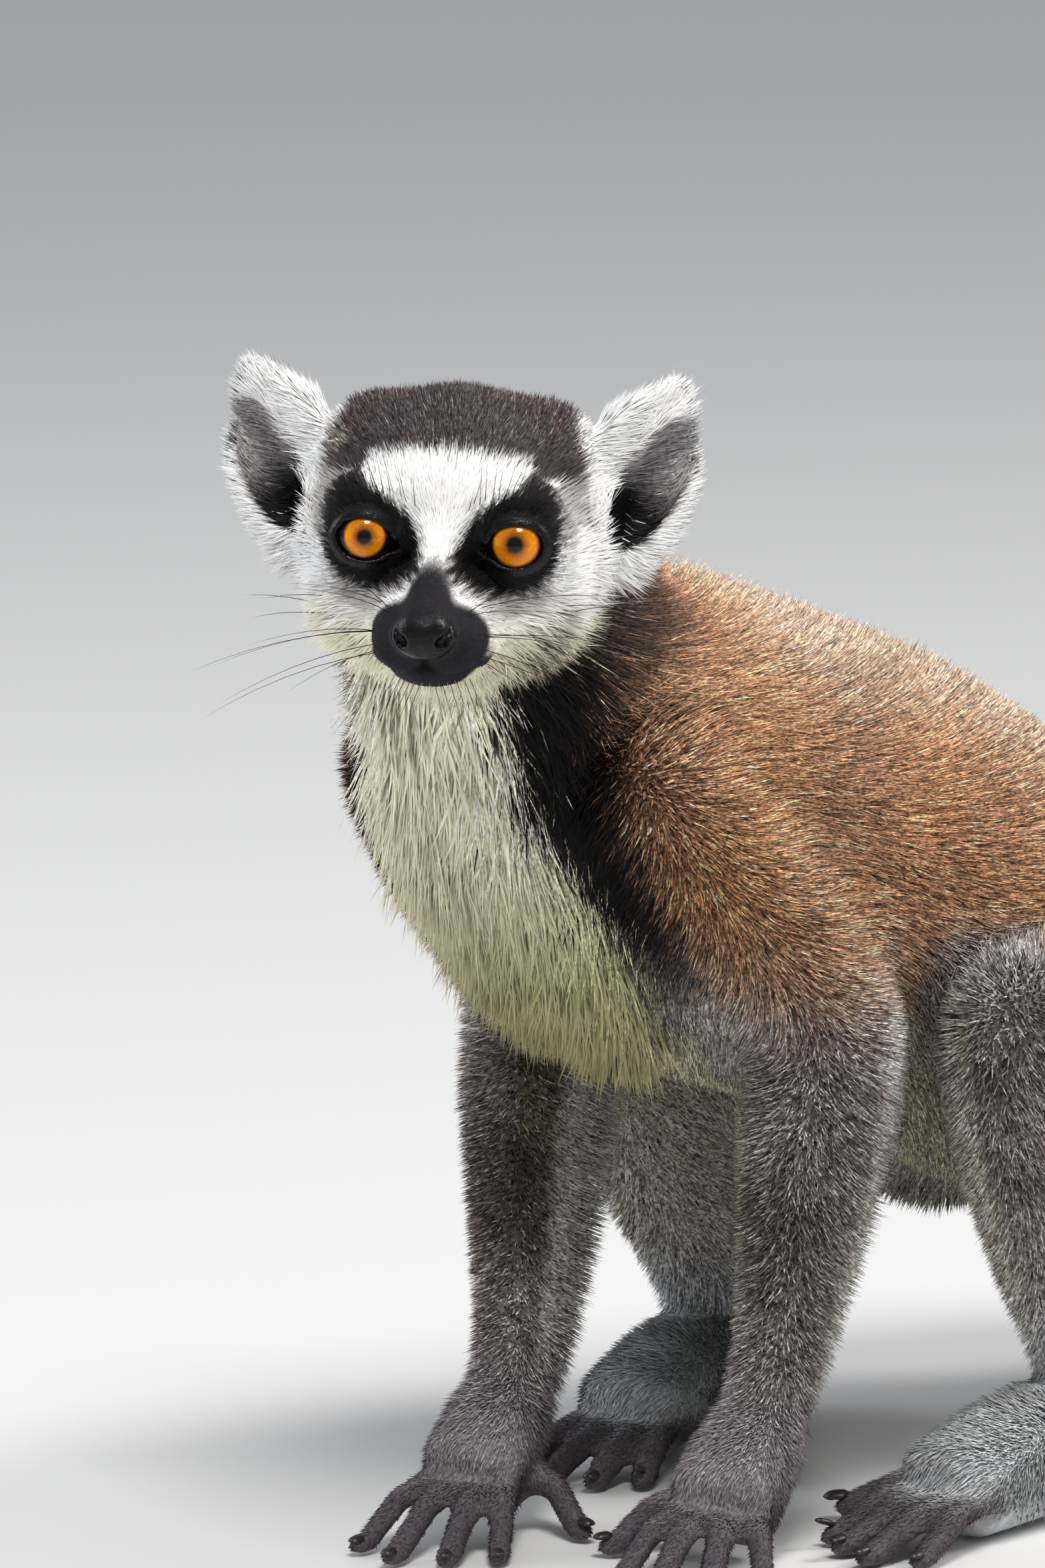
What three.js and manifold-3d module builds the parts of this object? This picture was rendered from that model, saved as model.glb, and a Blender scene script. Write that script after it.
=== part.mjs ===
// A ring-tailed lemur, life size, crouched on its haunches with straight forelegs,
// the head turned to its left and the tail laid on the floor in a bend.
// Millimetres, +Z up, the animal faces -Y and its left is +X.
// Every solid runs out to the tips of the coat.
import * as THREE from "three";
import { mergeVertices } from "three/addons/utils/BufferGeometryUtils.js";
import Module from "manifold-3d";

const wasm = await Module();
wasm.setup();

// ---- driving dimensions ----
const GAP = 0.3; // air between neighbouring solids
const PAIR_EYES = 33.2; // pupil to pupil
const EYE_RADIUS = 8.7;
const EYE_DEPTH = -7.2; // eye centre behind the plane of the pupils
const HEAD_ORIGIN = [32, -91, 238]; // midway between the pupils
const HEAD_TURN = 37.5; // degrees towards the animal's left
const HEAD_ROLL = -2.2; // degrees about the line of sight, below 0 with its left side down
const FLOOR = 60; // thickness of the block cut away under z = 0
const FLOOR_SPAN = 1200;

// Stations are [x, y, z, half width, height above the line, depth below it].
const TRUNK = [
  [-3, -56, 227, 29, 26, 29],
  [-2, -38, 211, 40, 33, 43],
  [-1, -18, 192, 48, 40, 52],
  [0, 6, 180, 51, 46, 65],
  [0, 34, 163, 52, 50, 67],
  [0, 64, 150, 51, 54, 62],
  [0, 96, 136, 52, 52, 62],
  [0, 126, 120, 54, 50, 60],
  [0, 156, 100, 55, 50, 52],
  [0, 184, 80, 50, 46, 44],
  [0, 204, 65, 37, 36, 34],
  [0, 216, 56, 24, 25, 24],
];
// Each node of the trunk runs between two places on the line of stations.
const TRUNK_NODES = [
  ["neck", 0, 1.7],
  ["chest", 1.7, 4.4],
  ["loin", 4.4, 7.4],
  ["rump", 7.4, 11],
];
const NECK_CAP = 8;
const RUMP_CAP = 10;

// Stations of the tail are [x, y, z, radius].
const TAIL = [
  [0, 203, 66, 20],
  [0, 226, 50, 23],
  [1, 250, 31, 24],
  [6, 284, 23, 24],
  [25, 328, 23, 24],
  [62, 360, 23, 24],
  [108, 371, 23, 24],
  [151, 351, 23, 24],
  [176, 311, 23, 24],
  [183, 263, 23, 24],
  [177, 215, 23, 24],
  [164, 169, 22, 23],
  [149, 128, 20, 21],
  [138, 104, 15, 16],
];
const TAIL_LENGTHS = 8;
const TAIL_ROOT_END = 1.5; // place on the line of stations where the first length ends
const TAIL_ROOT_CAP = 6;
const TAIL_TIP_CAP = 13;

// Head frame: [left, forward, up] from midway between the pupils.
const HEAD = [
  [0, -58, -2, 13, 13, 14],
  [0, -52, -1, 22, 22, 21],
  [0, -42, 0, 29, 29, 28],
  [0, -30, 0, 32, 32, 31],
  [0, -18, -1, 32, 31, 31],
  [0, -9, -4, 29, 27, 26],
  [0, -2, -7, 24, 21, 20],
  [0, 4, -12, 16, 15, 14],
];
const MUZZLE = [
  [0, -5, -8, 9, 12, 11],
  [0, 5, -11, 9.5, 11, 10.5],
  [0, 14, -14.5, 11.2, 9, 9.2],
  [0, 21, -16.8, 11.6, 7.4, 7.4],
  [0, 26, -17.6, 9.2, 5.8, 5.8],
];
const JAW = [
  [0, -8, -23, 13, 6, 7],
  [0, 5, -24.3, 12.2, 5, 5.2],
  [0, 14, -25, 9.4, 4.4, 4.6],
  [0, 20, -25.3, 6.4, 3.4, 3.6],
];
const NOSE = { at: [0, 26.5, -17], size: [6.8, 4.6, 4.6] };
const LID_OPENING = { at: [17.8, 4.5, -0.3], size: [7, 9.5, 5.8] };
const EAR = [
  [28, -33, -9, 7, 5, 5],
  [32, -34, -1, 11.5, 7, 6.5],
  [35.5, -35, 8, 14, 7.5, 7],
  [38.7, -36, 18, 13.4, 6.5, 6],
  [40.7, -37, 27.5, 11, 5, 4.5],
  [45, -38, 35, 5, 3, 3],
];
const EAR_HOLLOW = [
  [33, -25, -3, 5, 7, 7],
  [37, -25, 6, 9, 8, 8],
  [39.5, -26, 15, 8, 7.5, 7.5],
  [42, -28, 24, 3.5, 5, 5],
];
const EAR_FACING = 22; // degrees the ear opening faces outwards

// Limb joints, and the heading of the hand or foot in degrees from straight ahead.
const ARM = {
  left: {
    shoulder: [34, -26, 178],
    elbow: [43, 24, 120],
    wrist: [35, 12, 34],
    knuckle: [39, -9, 17],
    aim: 28,
  },
  right: {
    shoulder: [-36, -28, 178],
    elbow: [-43, 20, 119],
    wrist: [-28, -5, 33],
    knuckle: [-22, -25, 17],
    aim: 24,
  },
};
const LEG = {
  left: {
    hip: [35, 163, 82],
    knee: [62, 64, 120],
    ankle: [58, 100, 27],
    heel: [57, 119, 13],
    ball: [60, 46, 15],
    aim: -2,
  },
  right: {
    hip: [-35, 163, 82],
    knee: [-63, 62, 120],
    ankle: [-60, 102, 27],
    heel: [-66, 120, 13],
    ball: [-46, 54, 15],
    aim: 16,
  },
};
// Limb sections are [share of the way, half width, half depth in front or above, behind or below].
const UPPER_ARM = [
  [0, 20, 22, 22],
  [0.35, 20, 23, 24],
  [0.7, 18, 21, 23],
  [1, 15.5, 17.5, 18.5],
];
const FOREARM = [
  [0, 17, 20, 20],
  [0.25, 17.5, 21, 20],
  [0.6, 14, 16, 19],
  [0.88, 11.5, 11.5, 15],
  [1, 11, 11, 11],
];
const PALM = [
  [-0.1, 9.5, 9.5, 9.5],
  [0.45, 12, 9.5, 17],
  [1, 13.2, 8.5, 21],
];
const THIGH = [
  [0, 25, 38, 40],
  [0.35, 25, 37, 37],
  [0.7, 22, 28, 29],
  [1, 15, 17, 18],
];
const SHANK = [
  [0, 16.5, 25, 19],
  [0.3, 17, 27, 21],
  [0.65, 15, 23, 17],
  [0.9, 12.5, 15, 13],
  [1, 12, 12, 13],
];
// The back of the foot runs from heel to ankle, and the front from ankle to ball.
const FOOT_BACK = [
  [0, 11, 10, 15.5],
  [0.7, 12.5, 10, 25],
];
const FOOT_FRONT = [
  [0.5, 13.5, 10, 24],
  [1, 14.5, 9, 17.5],
];
// Digits: [name, side step at the root, setback, fan in degrees, length, half thickness].
const FINGERS = [
  ["thumb", -10.5, 13, -54, 21, 3.9],
  ["finger_2", -8.8, 0, -15, 31, 3.5],
  ["finger_3", -3, 0, -5, 37, 3.7],
  ["finger_4", 3.2, 0, 5, 39, 3.7],
  ["finger_5", 9, 0, 17, 31, 3.5],
];
const FINGER_ROOT_HEIGHT = 13;
const TOES = [
  ["big_toe", -10.5, 13, -50, 27, 5.2],
  ["toe_2", -9.6, 0, -12, 27, 3.8],
  ["toe_3", -3.4, 0, -4, 33, 4],
  ["toe_4", 3.2, 0, 4, 37, 4.1],
  ["toe_5", 9.6, 0, 13, 31, 3.8],
];
const TOE_ROOT_HEIGHT = 11;

// ---- colours ----
const COLOUR = {
  crown: 0x57504c,
  ear: 0xe4e2de,
  black: 0x1d1a1b,
  nose: 0x0f0f12,
  eye: 0xc8791c,
  cream: 0xd9d3c2,
  back: 0x8a6a54,
  grey: 0x8c8680,
  foot: 0xa9a6a2,
  hand: 0x77716d,
};

// ---- geometry helpers ----
const UP = new THREE.Vector3(0, 0, 1);
const FRONT = new THREE.Vector3(0, -1, 0);
const BODY_FRAME = new THREE.Matrix4();

function headFrame() {
  const turn = THREE.MathUtils.degToRad(HEAD_TURN);
  const roll = THREE.MathUtils.degToRad(HEAD_ROLL);
  const forward = new THREE.Vector3(Math.sin(turn), -Math.cos(turn), 0);
  const left = new THREE.Vector3(Math.cos(turn), Math.sin(turn), 0);
  left.applyAxisAngle(forward, roll);
  const up = UP.clone().applyAxisAngle(forward, roll);
  const frame = new THREE.Matrix4().makeBasis(left, forward, up);
  return frame.setPosition(...HEAD_ORIGIN);
}
const HEAD_FRAME = headFrame();

function solidOf(geometry) {
  const bare = geometry.clone();
  bare.deleteAttribute("normal");
  bare.deleteAttribute("uv");
  const merged = mergeVertices(bare, 1e-4);
  const triVerts = new Uint32Array(merged.index.array);
  const vertProperties = new Float32Array(merged.attributes.position.array);
  const made = new wasm.Manifold(new wasm.Mesh({ numProp: 3, vertProperties, triVerts }));
  if (made.volume() > 0) return made;
  const flipped = triVerts.slice();
  for (let i = 0; i < flipped.length; i += 3) {
    flipped[i + 1] = triVerts[i + 2];
    flipped[i + 2] = triVerts[i + 1];
  }
  return new wasm.Manifold(new wasm.Mesh({ numProp: 3, vertProperties, triVerts: flipped }));
}

function vectors(stations, from) {
  return stations.map((s) => new THREE.Vector3(s[from], s[from + 1], s[from + 2]));
}

// Stations of a limb between two joints, from its table of sections.
function between(a, b, sections) {
  return sections.map(([share, ...size]) => [
    ...a.map((value, i) => value + (b[i] - value) * share),
    ...size,
  ]);
}

// A closed body through a run of stations: the rows of a sphere laid along a curve.
// caps gives the length of the rounded ends, 0 for a flat end; trim pulls a flat end back.
function loft(stations, options) {
  const { segments, rows, caps, top = UP, frame = BODY_FRAME, grow = 0 } = options;
  const { from = 0, to = stations.length - 1, trim = [0, 0] } = options;
  const line = new THREE.CatmullRomCurve3(vectors(stations, 0), false, "catmullrom", 0.5);
  const size = new THREE.CatmullRomCurve3(vectors(stations, 3), false, "catmullrom", 0.5);
  const last = stations.length - 1;
  const capRows = caps.map((c) => (c > 0 ? 2 : 1));
  const total = rows + capRows[0] + capRows[1];
  const sphere = new THREE.SphereGeometry(1, segments, total);
  const position = sphere.attributes.position;
  for (let i = 0; i < position.count; i += 1) {
    const row = Math.floor(i / (segments + 1));
    const angle = ((i % (segments + 1)) % segments) * ((2 * Math.PI) / segments);
    const before = row < capRows[0];
    const after = row > total - capRows[1];
    const along = THREE.MathUtils.clamp((row - capRows[0]) / rows, 0, 1);
    const t = (from + (to - from) * along) / last;
    const end = before ? row / capRows[0] : (total - row) / capRows[1];
    const bend = before || after ? (end * Math.PI) / 2 : Math.PI / 2;
    const tangent = line.getTangent(t);
    const upward = top.clone().addScaledVector(tangent, -top.dot(tangent)).normalize();
    const across = new THREE.Vector3().crossVectors(tangent, upward);
    const centre = line.getPoint(t);
    const radii = size.getPoint(t).addScalar(grow);
    if (along === 0) {
      const shift = trim[0] - (caps[0] > 0 ? (caps[0] + grow) * Math.cos(bend) : grow);
      centre.addScaledVector(tangent, shift);
    }
    if (along === 1) {
      const shift = (caps[1] > 0 ? (caps[1] + grow) * Math.cos(bend) : grow) - trim[1];
      centre.addScaledVector(tangent, shift);
    }
    const scale = Math.sin(bend);
    const rise = Math.sin(angle);
    centre.addScaledVector(across, radii.x * Math.cos(angle) * scale);
    centre.addScaledVector(upward, (rise > 0 ? radii.y : radii.z) * rise * scale);
    position.setXYZ(i, ...centre.toArray());
  }
  return sphere.applyMatrix4(frame);
}

// The solid of a loft, and the same solid grown by the gap for cutting its neighbours.
function body(stations, options) {
  return {
    solid: solidOf(loft(stations, options)),
    grown: solidOf(loft(stations, { ...options, grow: GAP })),
  };
}

// An ellipsoid of the head, given in the head frame, and the same one grown by the gap.
function lump(at, size, detail) {
  const made = (grow) => {
    const ball = new THREE.SphereGeometry(1, ...detail).rotateX(Math.PI / 2);
    ball.scale(...size.map((s) => s + grow)).translate(...at);
    return solidOf(ball.applyMatrix4(HEAD_FRAME));
  };
  return { solid: made(0), grown: made(GAP) };
}

function cut(solid, ...others) {
  return others.reduce((left, other) => left.subtract(other.grown), solid);
}

// Only the largest piece of a cut solid is kept.
function largest(solid) {
  const pieces = solid.decompose();
  return pieces.reduce((a, b) => (a.volume() > b.volume() ? a : b));
}

const floorBlock = new THREE.BoxGeometry(FLOOR_SPAN, FLOOR_SPAN, FLOOR);
const floor = solidOf(floorBlock.translate(0, 0, -FLOOR / 2));
const model = new THREE.Group();

function add(name, solid, colour, roughness = 0.9) {
  const mesh = largest(solid.subtract(floor)).getMesh();
  const geometry = new THREE.BufferGeometry();
  geometry.setAttribute("position", new THREE.BufferAttribute(mesh.vertProperties, 3));
  geometry.setIndex(new THREE.BufferAttribute(mesh.triVerts, 1));
  geometry.computeVertexNormals();
  const material = new THREE.MeshStandardMaterial({ color: colour, roughness, metalness: 0 });
  const node = new THREE.Mesh(geometry, material);
  node.name = name;
  model.add(node);
}

// ---- head ----
const inHead = { frame: HEAD_FRAME };
const skull = body(HEAD, { ...inHead, segments: 18, rows: 8, caps: [4, 5] });
const muzzle = body(MUZZLE, { ...inHead, segments: 12, rows: 4, caps: [2, 2.5] });
const jaw = body(JAW, { ...inHead, segments: 10, rows: 3, caps: [2, 2] });
const nose = lump(NOSE.at, NOSE.size, [12, 7]);
const eyeSize = [EYE_RADIUS, EYE_RADIUS, EYE_RADIUS];
const eyes = {};
const lids = {};
for (const [name, side] of [["left", 1], ["right", -1]]) {
  const [across, forward, up] = LID_OPENING.at;
  eyes[name] = lump([(side * PAIR_EYES) / 2, EYE_DEPTH, 0], eyeSize, [12, 8]);
  lids[name] = lump([side * across, forward, up], LID_OPENING.size, [10, 6]);
}
const openings = [eyes.left, eyes.right, lids.left, lids.right];
const face = cut(skull.solid, muzzle, jaw, nose, ...openings);

const ears = {};
for (const [name, side] of [["left", 1], ["right", -1]]) {
  const facing = THREE.MathUtils.degToRad(EAR_FACING);
  const top = new THREE.Vector3(side * Math.sin(facing), Math.cos(facing), 0);
  const mirrored = (stations) => stations.map(([u, ...rest]) => [side * u, ...rest]);
  const shape = { ...inHead, top, caps: [3, 3] };
  const shell = body(mirrored(EAR), { ...shape, segments: 12, rows: 6 });
  const hollow = solidOf(loft(mirrored(EAR_HOLLOW), { ...shape, segments: 8, rows: 3 }));
  ears[name] = cut(shell.solid, skull).subtract(hollow);
}

// ---- limbs ----
const arms = {};
const legs = {};
for (const side of ["left", "right"]) {
  const { shoulder, elbow, wrist, knuckle } = ARM[side];
  const { hip, knee, ankle, heel, ball } = LEG[side];
  const upright = { segments: 12, rows: 4, top: FRONT };
  const footLine = [...between(heel, ankle, FOOT_BACK), ...between(ankle, ball, FOOT_FRONT)];
  arms[side] = {
    upper: body(between(shoulder, elbow, UPPER_ARM), { ...upright, rows: 3, caps: [20, 13] }),
    fore: body(between(elbow, wrist, FOREARM), { ...upright, caps: [16, 7] }),
    palm: body(between(wrist, knuckle, PALM), { segments: 10, rows: 3, caps: [5, 5] }),
  };
  legs[side] = {
    thigh: body(between(hip, knee, THIGH), { segments: 14, rows: 4, caps: [26, 12] }),
    shank: body(between(knee, ankle, SHANK), { ...upright, caps: [16, 8] }),
    foot: body(footLine, { segments: 12, rows: 4, caps: [6, 6] }),
  };
}

// A digit arches from its root over the middle joint to a pad on the floor,
// with a flat nail on the end. Its sections are [share of the length, height, sizes].
function digit(root, heading, length, half, rootHeight) {
  const flesh = [
    [-0.12, rootHeight, half + 0.6, half + 0.4, half + 0.6],
    [0.42, rootHeight * 0.8, half, half, half],
    [0.8, half * 0.85, half * 0.95, half * 0.9, half],
    [0.93, half * 0.7, half * 0.85, half * 0.75, half],
  ];
  const nail = [
    [0.86, half * 1.25, half * 0.55, 0.8, 0.8],
    [1, half, half * 0.6, 0.7, 0.8],
    [1.1, half * 0.65, half * 0.4, 0.6, 0.6],
  ];
  const laid = (sections) =>
    sections.map(([share, height, ...size]) => [
      root[0] + Math.sin(heading) * length * share,
      root[1] - Math.cos(heading) * length * share,
      height,
      ...size,
    ]);
  const pad = body(laid(flesh), { segments: 7, rows: 3, caps: [0, 2.5] });
  const plate = body(laid(nail), { segments: 4, rows: 1, caps: [0, 0] });
  return { solid: pad.solid.add(plate.solid), grown: pad.grown.add(plate.grown) };
}

// Each digit is cut by the palm or sole and by the digits before it.
function addDigits(kind, root, aim, rootHeight, side, base, colour) {
  const out = side === "left" ? 1 : -1;
  const turn = THREE.MathUtils.degToRad(aim);
  const before = [base];
  for (const [name, step, setback, fan, length, half] of kind) {
    const start = [
      root[0] + Math.cos(turn) * step * out - Math.sin(turn) * setback,
      root[1] + Math.sin(turn) * step * out + Math.cos(turn) * setback,
    ];
    const heading = turn + THREE.MathUtils.degToRad(fan * out);
    const part = digit(start, heading, length, half, rootHeight);
    add(name + "_" + side, cut(part.solid, ...before), colour);
    before.push(part);
  }
}

// ---- assembly ----
add("head", face, COLOUR.crown);
add("muzzle", cut(muzzle.solid, nose, jaw), COLOUR.black, 0.8);
add("lower_jaw", cut(jaw.solid, nose), COLOUR.cream);
add("nose", nose.solid, COLOUR.nose, 0.4);
add("eye_left", eyes.left.solid, COLOUR.eye, 0.1);
add("eye_right", eyes.right.solid, COLOUR.eye, 0.1);
add("ear_left", ears.left, COLOUR.ear);
add("ear_right", ears.right, COLOUR.ear);

const tailLine = TAIL.map(([x, y, z, radius]) => [x, y, z, radius, radius, radius]);
const tailShape = { segments: 12, rows: 3 };
const tailRoot = body(tailLine, { ...tailShape, to: TAIL_ROOT_END, caps: [TAIL_ROOT_CAP, 0] });
const trunkColours = {
  neck: COLOUR.cream,
  chest: COLOUR.grey,
  loin: COLOUR.back,
  rump: COLOUR.grey,
};
const trunkCutters = [skull, jaw, tailRoot];
for (const side of ["left", "right"]) {
  trunkCutters.push(arms[side].upper, arms[side].fore, legs[side].thigh, legs[side].shank);
}
for (const [name, from, to] of TRUNK_NODES) {
  const first = from === 0;
  const end = to === TRUNK.length - 1;
  const options = {
    segments: 18,
    rows: Math.round(to - from),
    from,
    to,
    caps: [first ? NECK_CAP : 0, end ? RUMP_CAP : 0],
    trim: [first ? 0 : GAP / 2, end ? 0 : GAP / 2],
  };
  add(name, cut(solidOf(loft(TRUNK, options)), ...trunkCutters), trunkColours[name]);
}

for (const side of ["left", "right"]) {
  const { upper, fore, palm } = arms[side];
  const { knuckle, aim } = ARM[side];
  add("upper_arm_" + side, cut(upper.solid, fore), COLOUR.grey);
  add("forearm_" + side, fore.solid, COLOUR.grey);
  add("hand_" + side, cut(palm.solid, fore), COLOUR.hand);
  addDigits(FINGERS, knuckle, aim, FINGER_ROOT_HEIGHT, side, palm, COLOUR.hand);
}
for (const side of ["left", "right"]) {
  const { thigh, shank, foot } = legs[side];
  const { ball, aim } = LEG[side];
  add("thigh_" + side, cut(thigh.solid, shank, foot), COLOUR.grey);
  add("shank_" + side, shank.solid, COLOUR.grey);
  add("foot_" + side, cut(foot.solid, shank), COLOUR.foot);
  addDigits(TOES, ball, aim, TOE_ROOT_HEIGHT, side, foot, COLOUR.foot);
}

const tailEnd = TAIL.length - 1;
const tailStep = (tailEnd - TAIL_ROOT_END) / (TAIL_LENGTHS - 1);
for (let i = 0; i < TAIL_LENGTHS; i += 1) {
  const first = i === 0;
  const end = i === TAIL_LENGTHS - 1;
  const options = {
    ...tailShape,
    from: first ? 0 : TAIL_ROOT_END + tailStep * (i - 1),
    to: TAIL_ROOT_END + tailStep * i,
    caps: [first ? TAIL_ROOT_CAP : 0, end ? TAIL_TIP_CAP : 0],
    trim: [first ? 0 : GAP / 2, end ? 0 : GAP / 2],
  };
  const ring = i % 2 === 0 ? COLOUR.ear : COLOUR.black;
  add("tail_" + (i + 1), solidOf(loft(tailLine, options)), first ? COLOUR.grey : ring);
}

// The origin is the middle of the footprint, on the floor.
const box = new THREE.Box3().setFromObject(model);
const middle = box.getCenter(new THREE.Vector3());
model.position.set(-middle.x, -middle.y, -box.min.z);

export default model;
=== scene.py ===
import math

import bpy
import numpy as np
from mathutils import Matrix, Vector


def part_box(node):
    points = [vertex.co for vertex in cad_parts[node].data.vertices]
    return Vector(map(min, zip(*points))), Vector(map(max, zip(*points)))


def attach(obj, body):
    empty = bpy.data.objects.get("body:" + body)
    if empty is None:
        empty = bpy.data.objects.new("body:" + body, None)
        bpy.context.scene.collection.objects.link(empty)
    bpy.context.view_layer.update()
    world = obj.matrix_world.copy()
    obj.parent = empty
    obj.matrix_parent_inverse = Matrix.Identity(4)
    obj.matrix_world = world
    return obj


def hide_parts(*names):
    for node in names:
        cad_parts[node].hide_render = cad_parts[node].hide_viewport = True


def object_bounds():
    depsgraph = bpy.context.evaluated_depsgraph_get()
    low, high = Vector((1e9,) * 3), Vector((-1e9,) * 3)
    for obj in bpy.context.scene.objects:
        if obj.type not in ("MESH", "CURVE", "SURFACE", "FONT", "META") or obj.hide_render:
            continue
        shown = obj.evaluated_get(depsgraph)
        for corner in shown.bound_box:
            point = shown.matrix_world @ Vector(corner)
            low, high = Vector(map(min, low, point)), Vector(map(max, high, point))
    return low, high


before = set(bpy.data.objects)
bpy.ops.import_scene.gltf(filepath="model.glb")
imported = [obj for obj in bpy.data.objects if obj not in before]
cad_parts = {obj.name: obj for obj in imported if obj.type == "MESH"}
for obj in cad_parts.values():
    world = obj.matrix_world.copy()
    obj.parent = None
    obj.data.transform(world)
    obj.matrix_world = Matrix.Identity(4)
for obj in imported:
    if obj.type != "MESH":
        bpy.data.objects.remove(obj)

import openvdb as vdb
from mathutils import Vector

CAD_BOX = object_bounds()
MM = 0.001
F = np.float32

# ---- driving dimensions, as in the CAD source ----
EYE_RADIUS = 8.7
EYE_DEPTH = -7.2
HEAD_ORIGIN = np.array([32, -91, 238.0])
HEAD_TURN, HEAD_ROLL = 37.5, -2.2  # degrees


def norm(v):
    return np.linalg.norm(v, axis=-1)


def unit(v):
    v = np.asarray(v, float)
    return v / np.maximum(norm(v)[..., None], 1e-9)


def mix(base, other, share):
    """Goes from base to other, both rows of three numbers, by a share for each row."""
    return base + (other - base) * np.clip(share, 0, 1)[:, None]


def head_axes():
    turn, roll = math.radians(HEAD_TURN), math.radians(HEAD_ROLL)
    forward = np.array([math.sin(turn), -math.cos(turn), 0])
    left = np.array([math.cos(turn), math.sin(turn), 0])
    up = np.array([0, 0, 1.0])
    return (
        left * math.cos(roll) + np.cross(forward, left) * math.sin(roll),
        forward,
        up * math.cos(roll) + np.cross(forward, up) * math.sin(roll),
    )


LEFT, FORWARD, UPWARD = head_axes()
AXES = np.array([LEFT, FORWARD, UPWARD])


def box_middle(name):
    lo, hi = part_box(name)
    return (np.array(lo) + np.array(hi)) / 2 / MM


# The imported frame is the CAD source's frame moved level, so the eyes give the shift.
EYES_MIDDLE = (box_middle("eye_left") + box_middle("eye_right")) / 2
SHIFT = EYES_MIDDLE - (HEAD_ORIGIN + FORWARD * EYE_DEPTH)
SHIFT[2] = 0
ORIGIN = HEAD_ORIGIN + SHIFT


def to_head(p):
    return (p - ORIGIN) @ AXES.T


def from_head(q):
    return np.asarray(q, float) @ AXES + ORIGIN


HEAD_SPOT = from_head((0, -20, 0))  # about the middle of the head
EYE_SPOT = np.array([16.6, EYE_DEPTH, 0], F)  # middle of the left eye in the head frame

# ---- the line of each limb, as in the CAD source ----
# Shoulder, elbow, wrist, knuckles, and the way the hand points in degrees.
ARM = {
    "left": [(34, -26, 178), (43, 24, 120), (35, 12, 34), (39, -9, 17), 28],
    "right": [(-36, -28, 178), (-43, 20, 119), (-28, -5, 33), (-22, -25, 17), 24],
}
# Hip, knee, ankle, heel, ball of the foot, and the way the foot points.
LEG = {
    "left": [(35, 163, 82), (62, 64, 120), (58, 100, 27), (57, 119, 13), (60, 46, 15), -2],
    "right": [(-35, 163, 82), (-63, 62, 120), (-60, 102, 27), (-66, 120, 13), (-46, 54, 15), 16],
}
# Digits: name, step across, setback, fan in degrees, length and half thickness.
FINGERS = [
    ("thumb", -10.5, 13, -54, 21, 3.9),
    ("finger_2", -8.8, 0, -15, 31, 3.5),
    ("finger_3", -3, 0, -5, 37, 3.7),
    ("finger_4", 3.2, 0, 5, 39, 3.7),
    ("finger_5", 9, 0, 17, 31, 3.5),
]
TOES = [
    ("big_toe", -10.5, 13, -50, 27, 5.2),
    ("toe_2", -9.6, 0, -12, 27, 3.8),
    ("toe_3", -3.4, 0, -4, 33, 4),
    ("toe_4", 3.2, 0, 4, 37, 4.1),
    ("toe_5", 9.6, 0, 13, 31, 3.8),
]
FINGER_HEIGHT, TOE_HEIGHT = 13, 11  # where the digits leave the hand and the foot
# Places along the spine with its radius, and along the tail, both with the coat's depth.
SPINE = [
    (-3, -56, 222, 16, 12),
    (-1, -18, 188, 30, 12),
    (0, 34, 158, 36, 7),
    (0, 96, 132, 36, 5.5),
    (0, 156, 98, 36, 5.5),
    (0, 204, 65, 24, 5.5),
]
TAIL_RADIUS = 23  # with its coat
TAIL = [
    (0, 203, 66, 10),
    (0, 226, 50, 10),
    (1, 250, 31, 9.5),
    (6, 284, 23, 9),
    (25, 328, 23, 9),
    (62, 360, 23, 8.5),
    (108, 371, 23, 8.5),
    (151, 351, 23, 8),
    (176, 311, 23, 8),
    (183, 263, 23, 7.5),
    (177, 215, 23, 7.5),
    (164, 169, 22, 7),
    (149, 128, 20, 6),
    (138, 104, 15, 4),
]


def digit_lines(kind, root, aim, side):
    """Start, heading, length and half thickness of each digit of a hand or foot."""
    out = 1 if side == "left" else -1
    turn = math.radians(aim)
    for name, step, setback, fan, length, half in kind:
        start = (
            root[0] + math.cos(turn) * step * out - math.sin(turn) * setback,
            root[1] + math.sin(turn) * step * out + math.cos(turn) * setback,
        )
        yield name, start, turn + math.radians(fan * out), length, half


def digit_point(start, heading, reach, height):
    return (start[0] + math.sin(heading) * reach, start[1] - math.cos(heading) * reach, height)


def all_digits():
    for side in ("left", "right"):
        for kind, limb, high in ((FINGERS, ARM, FINGER_HEIGHT), (TOES, LEG, TOE_HEIGHT)):
            *_, root, aim = limb[side]
            for name, start, heading, length, half in digit_lines(kind, root, aim, side):
                yield name, side, start, heading, length, half, high


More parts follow.
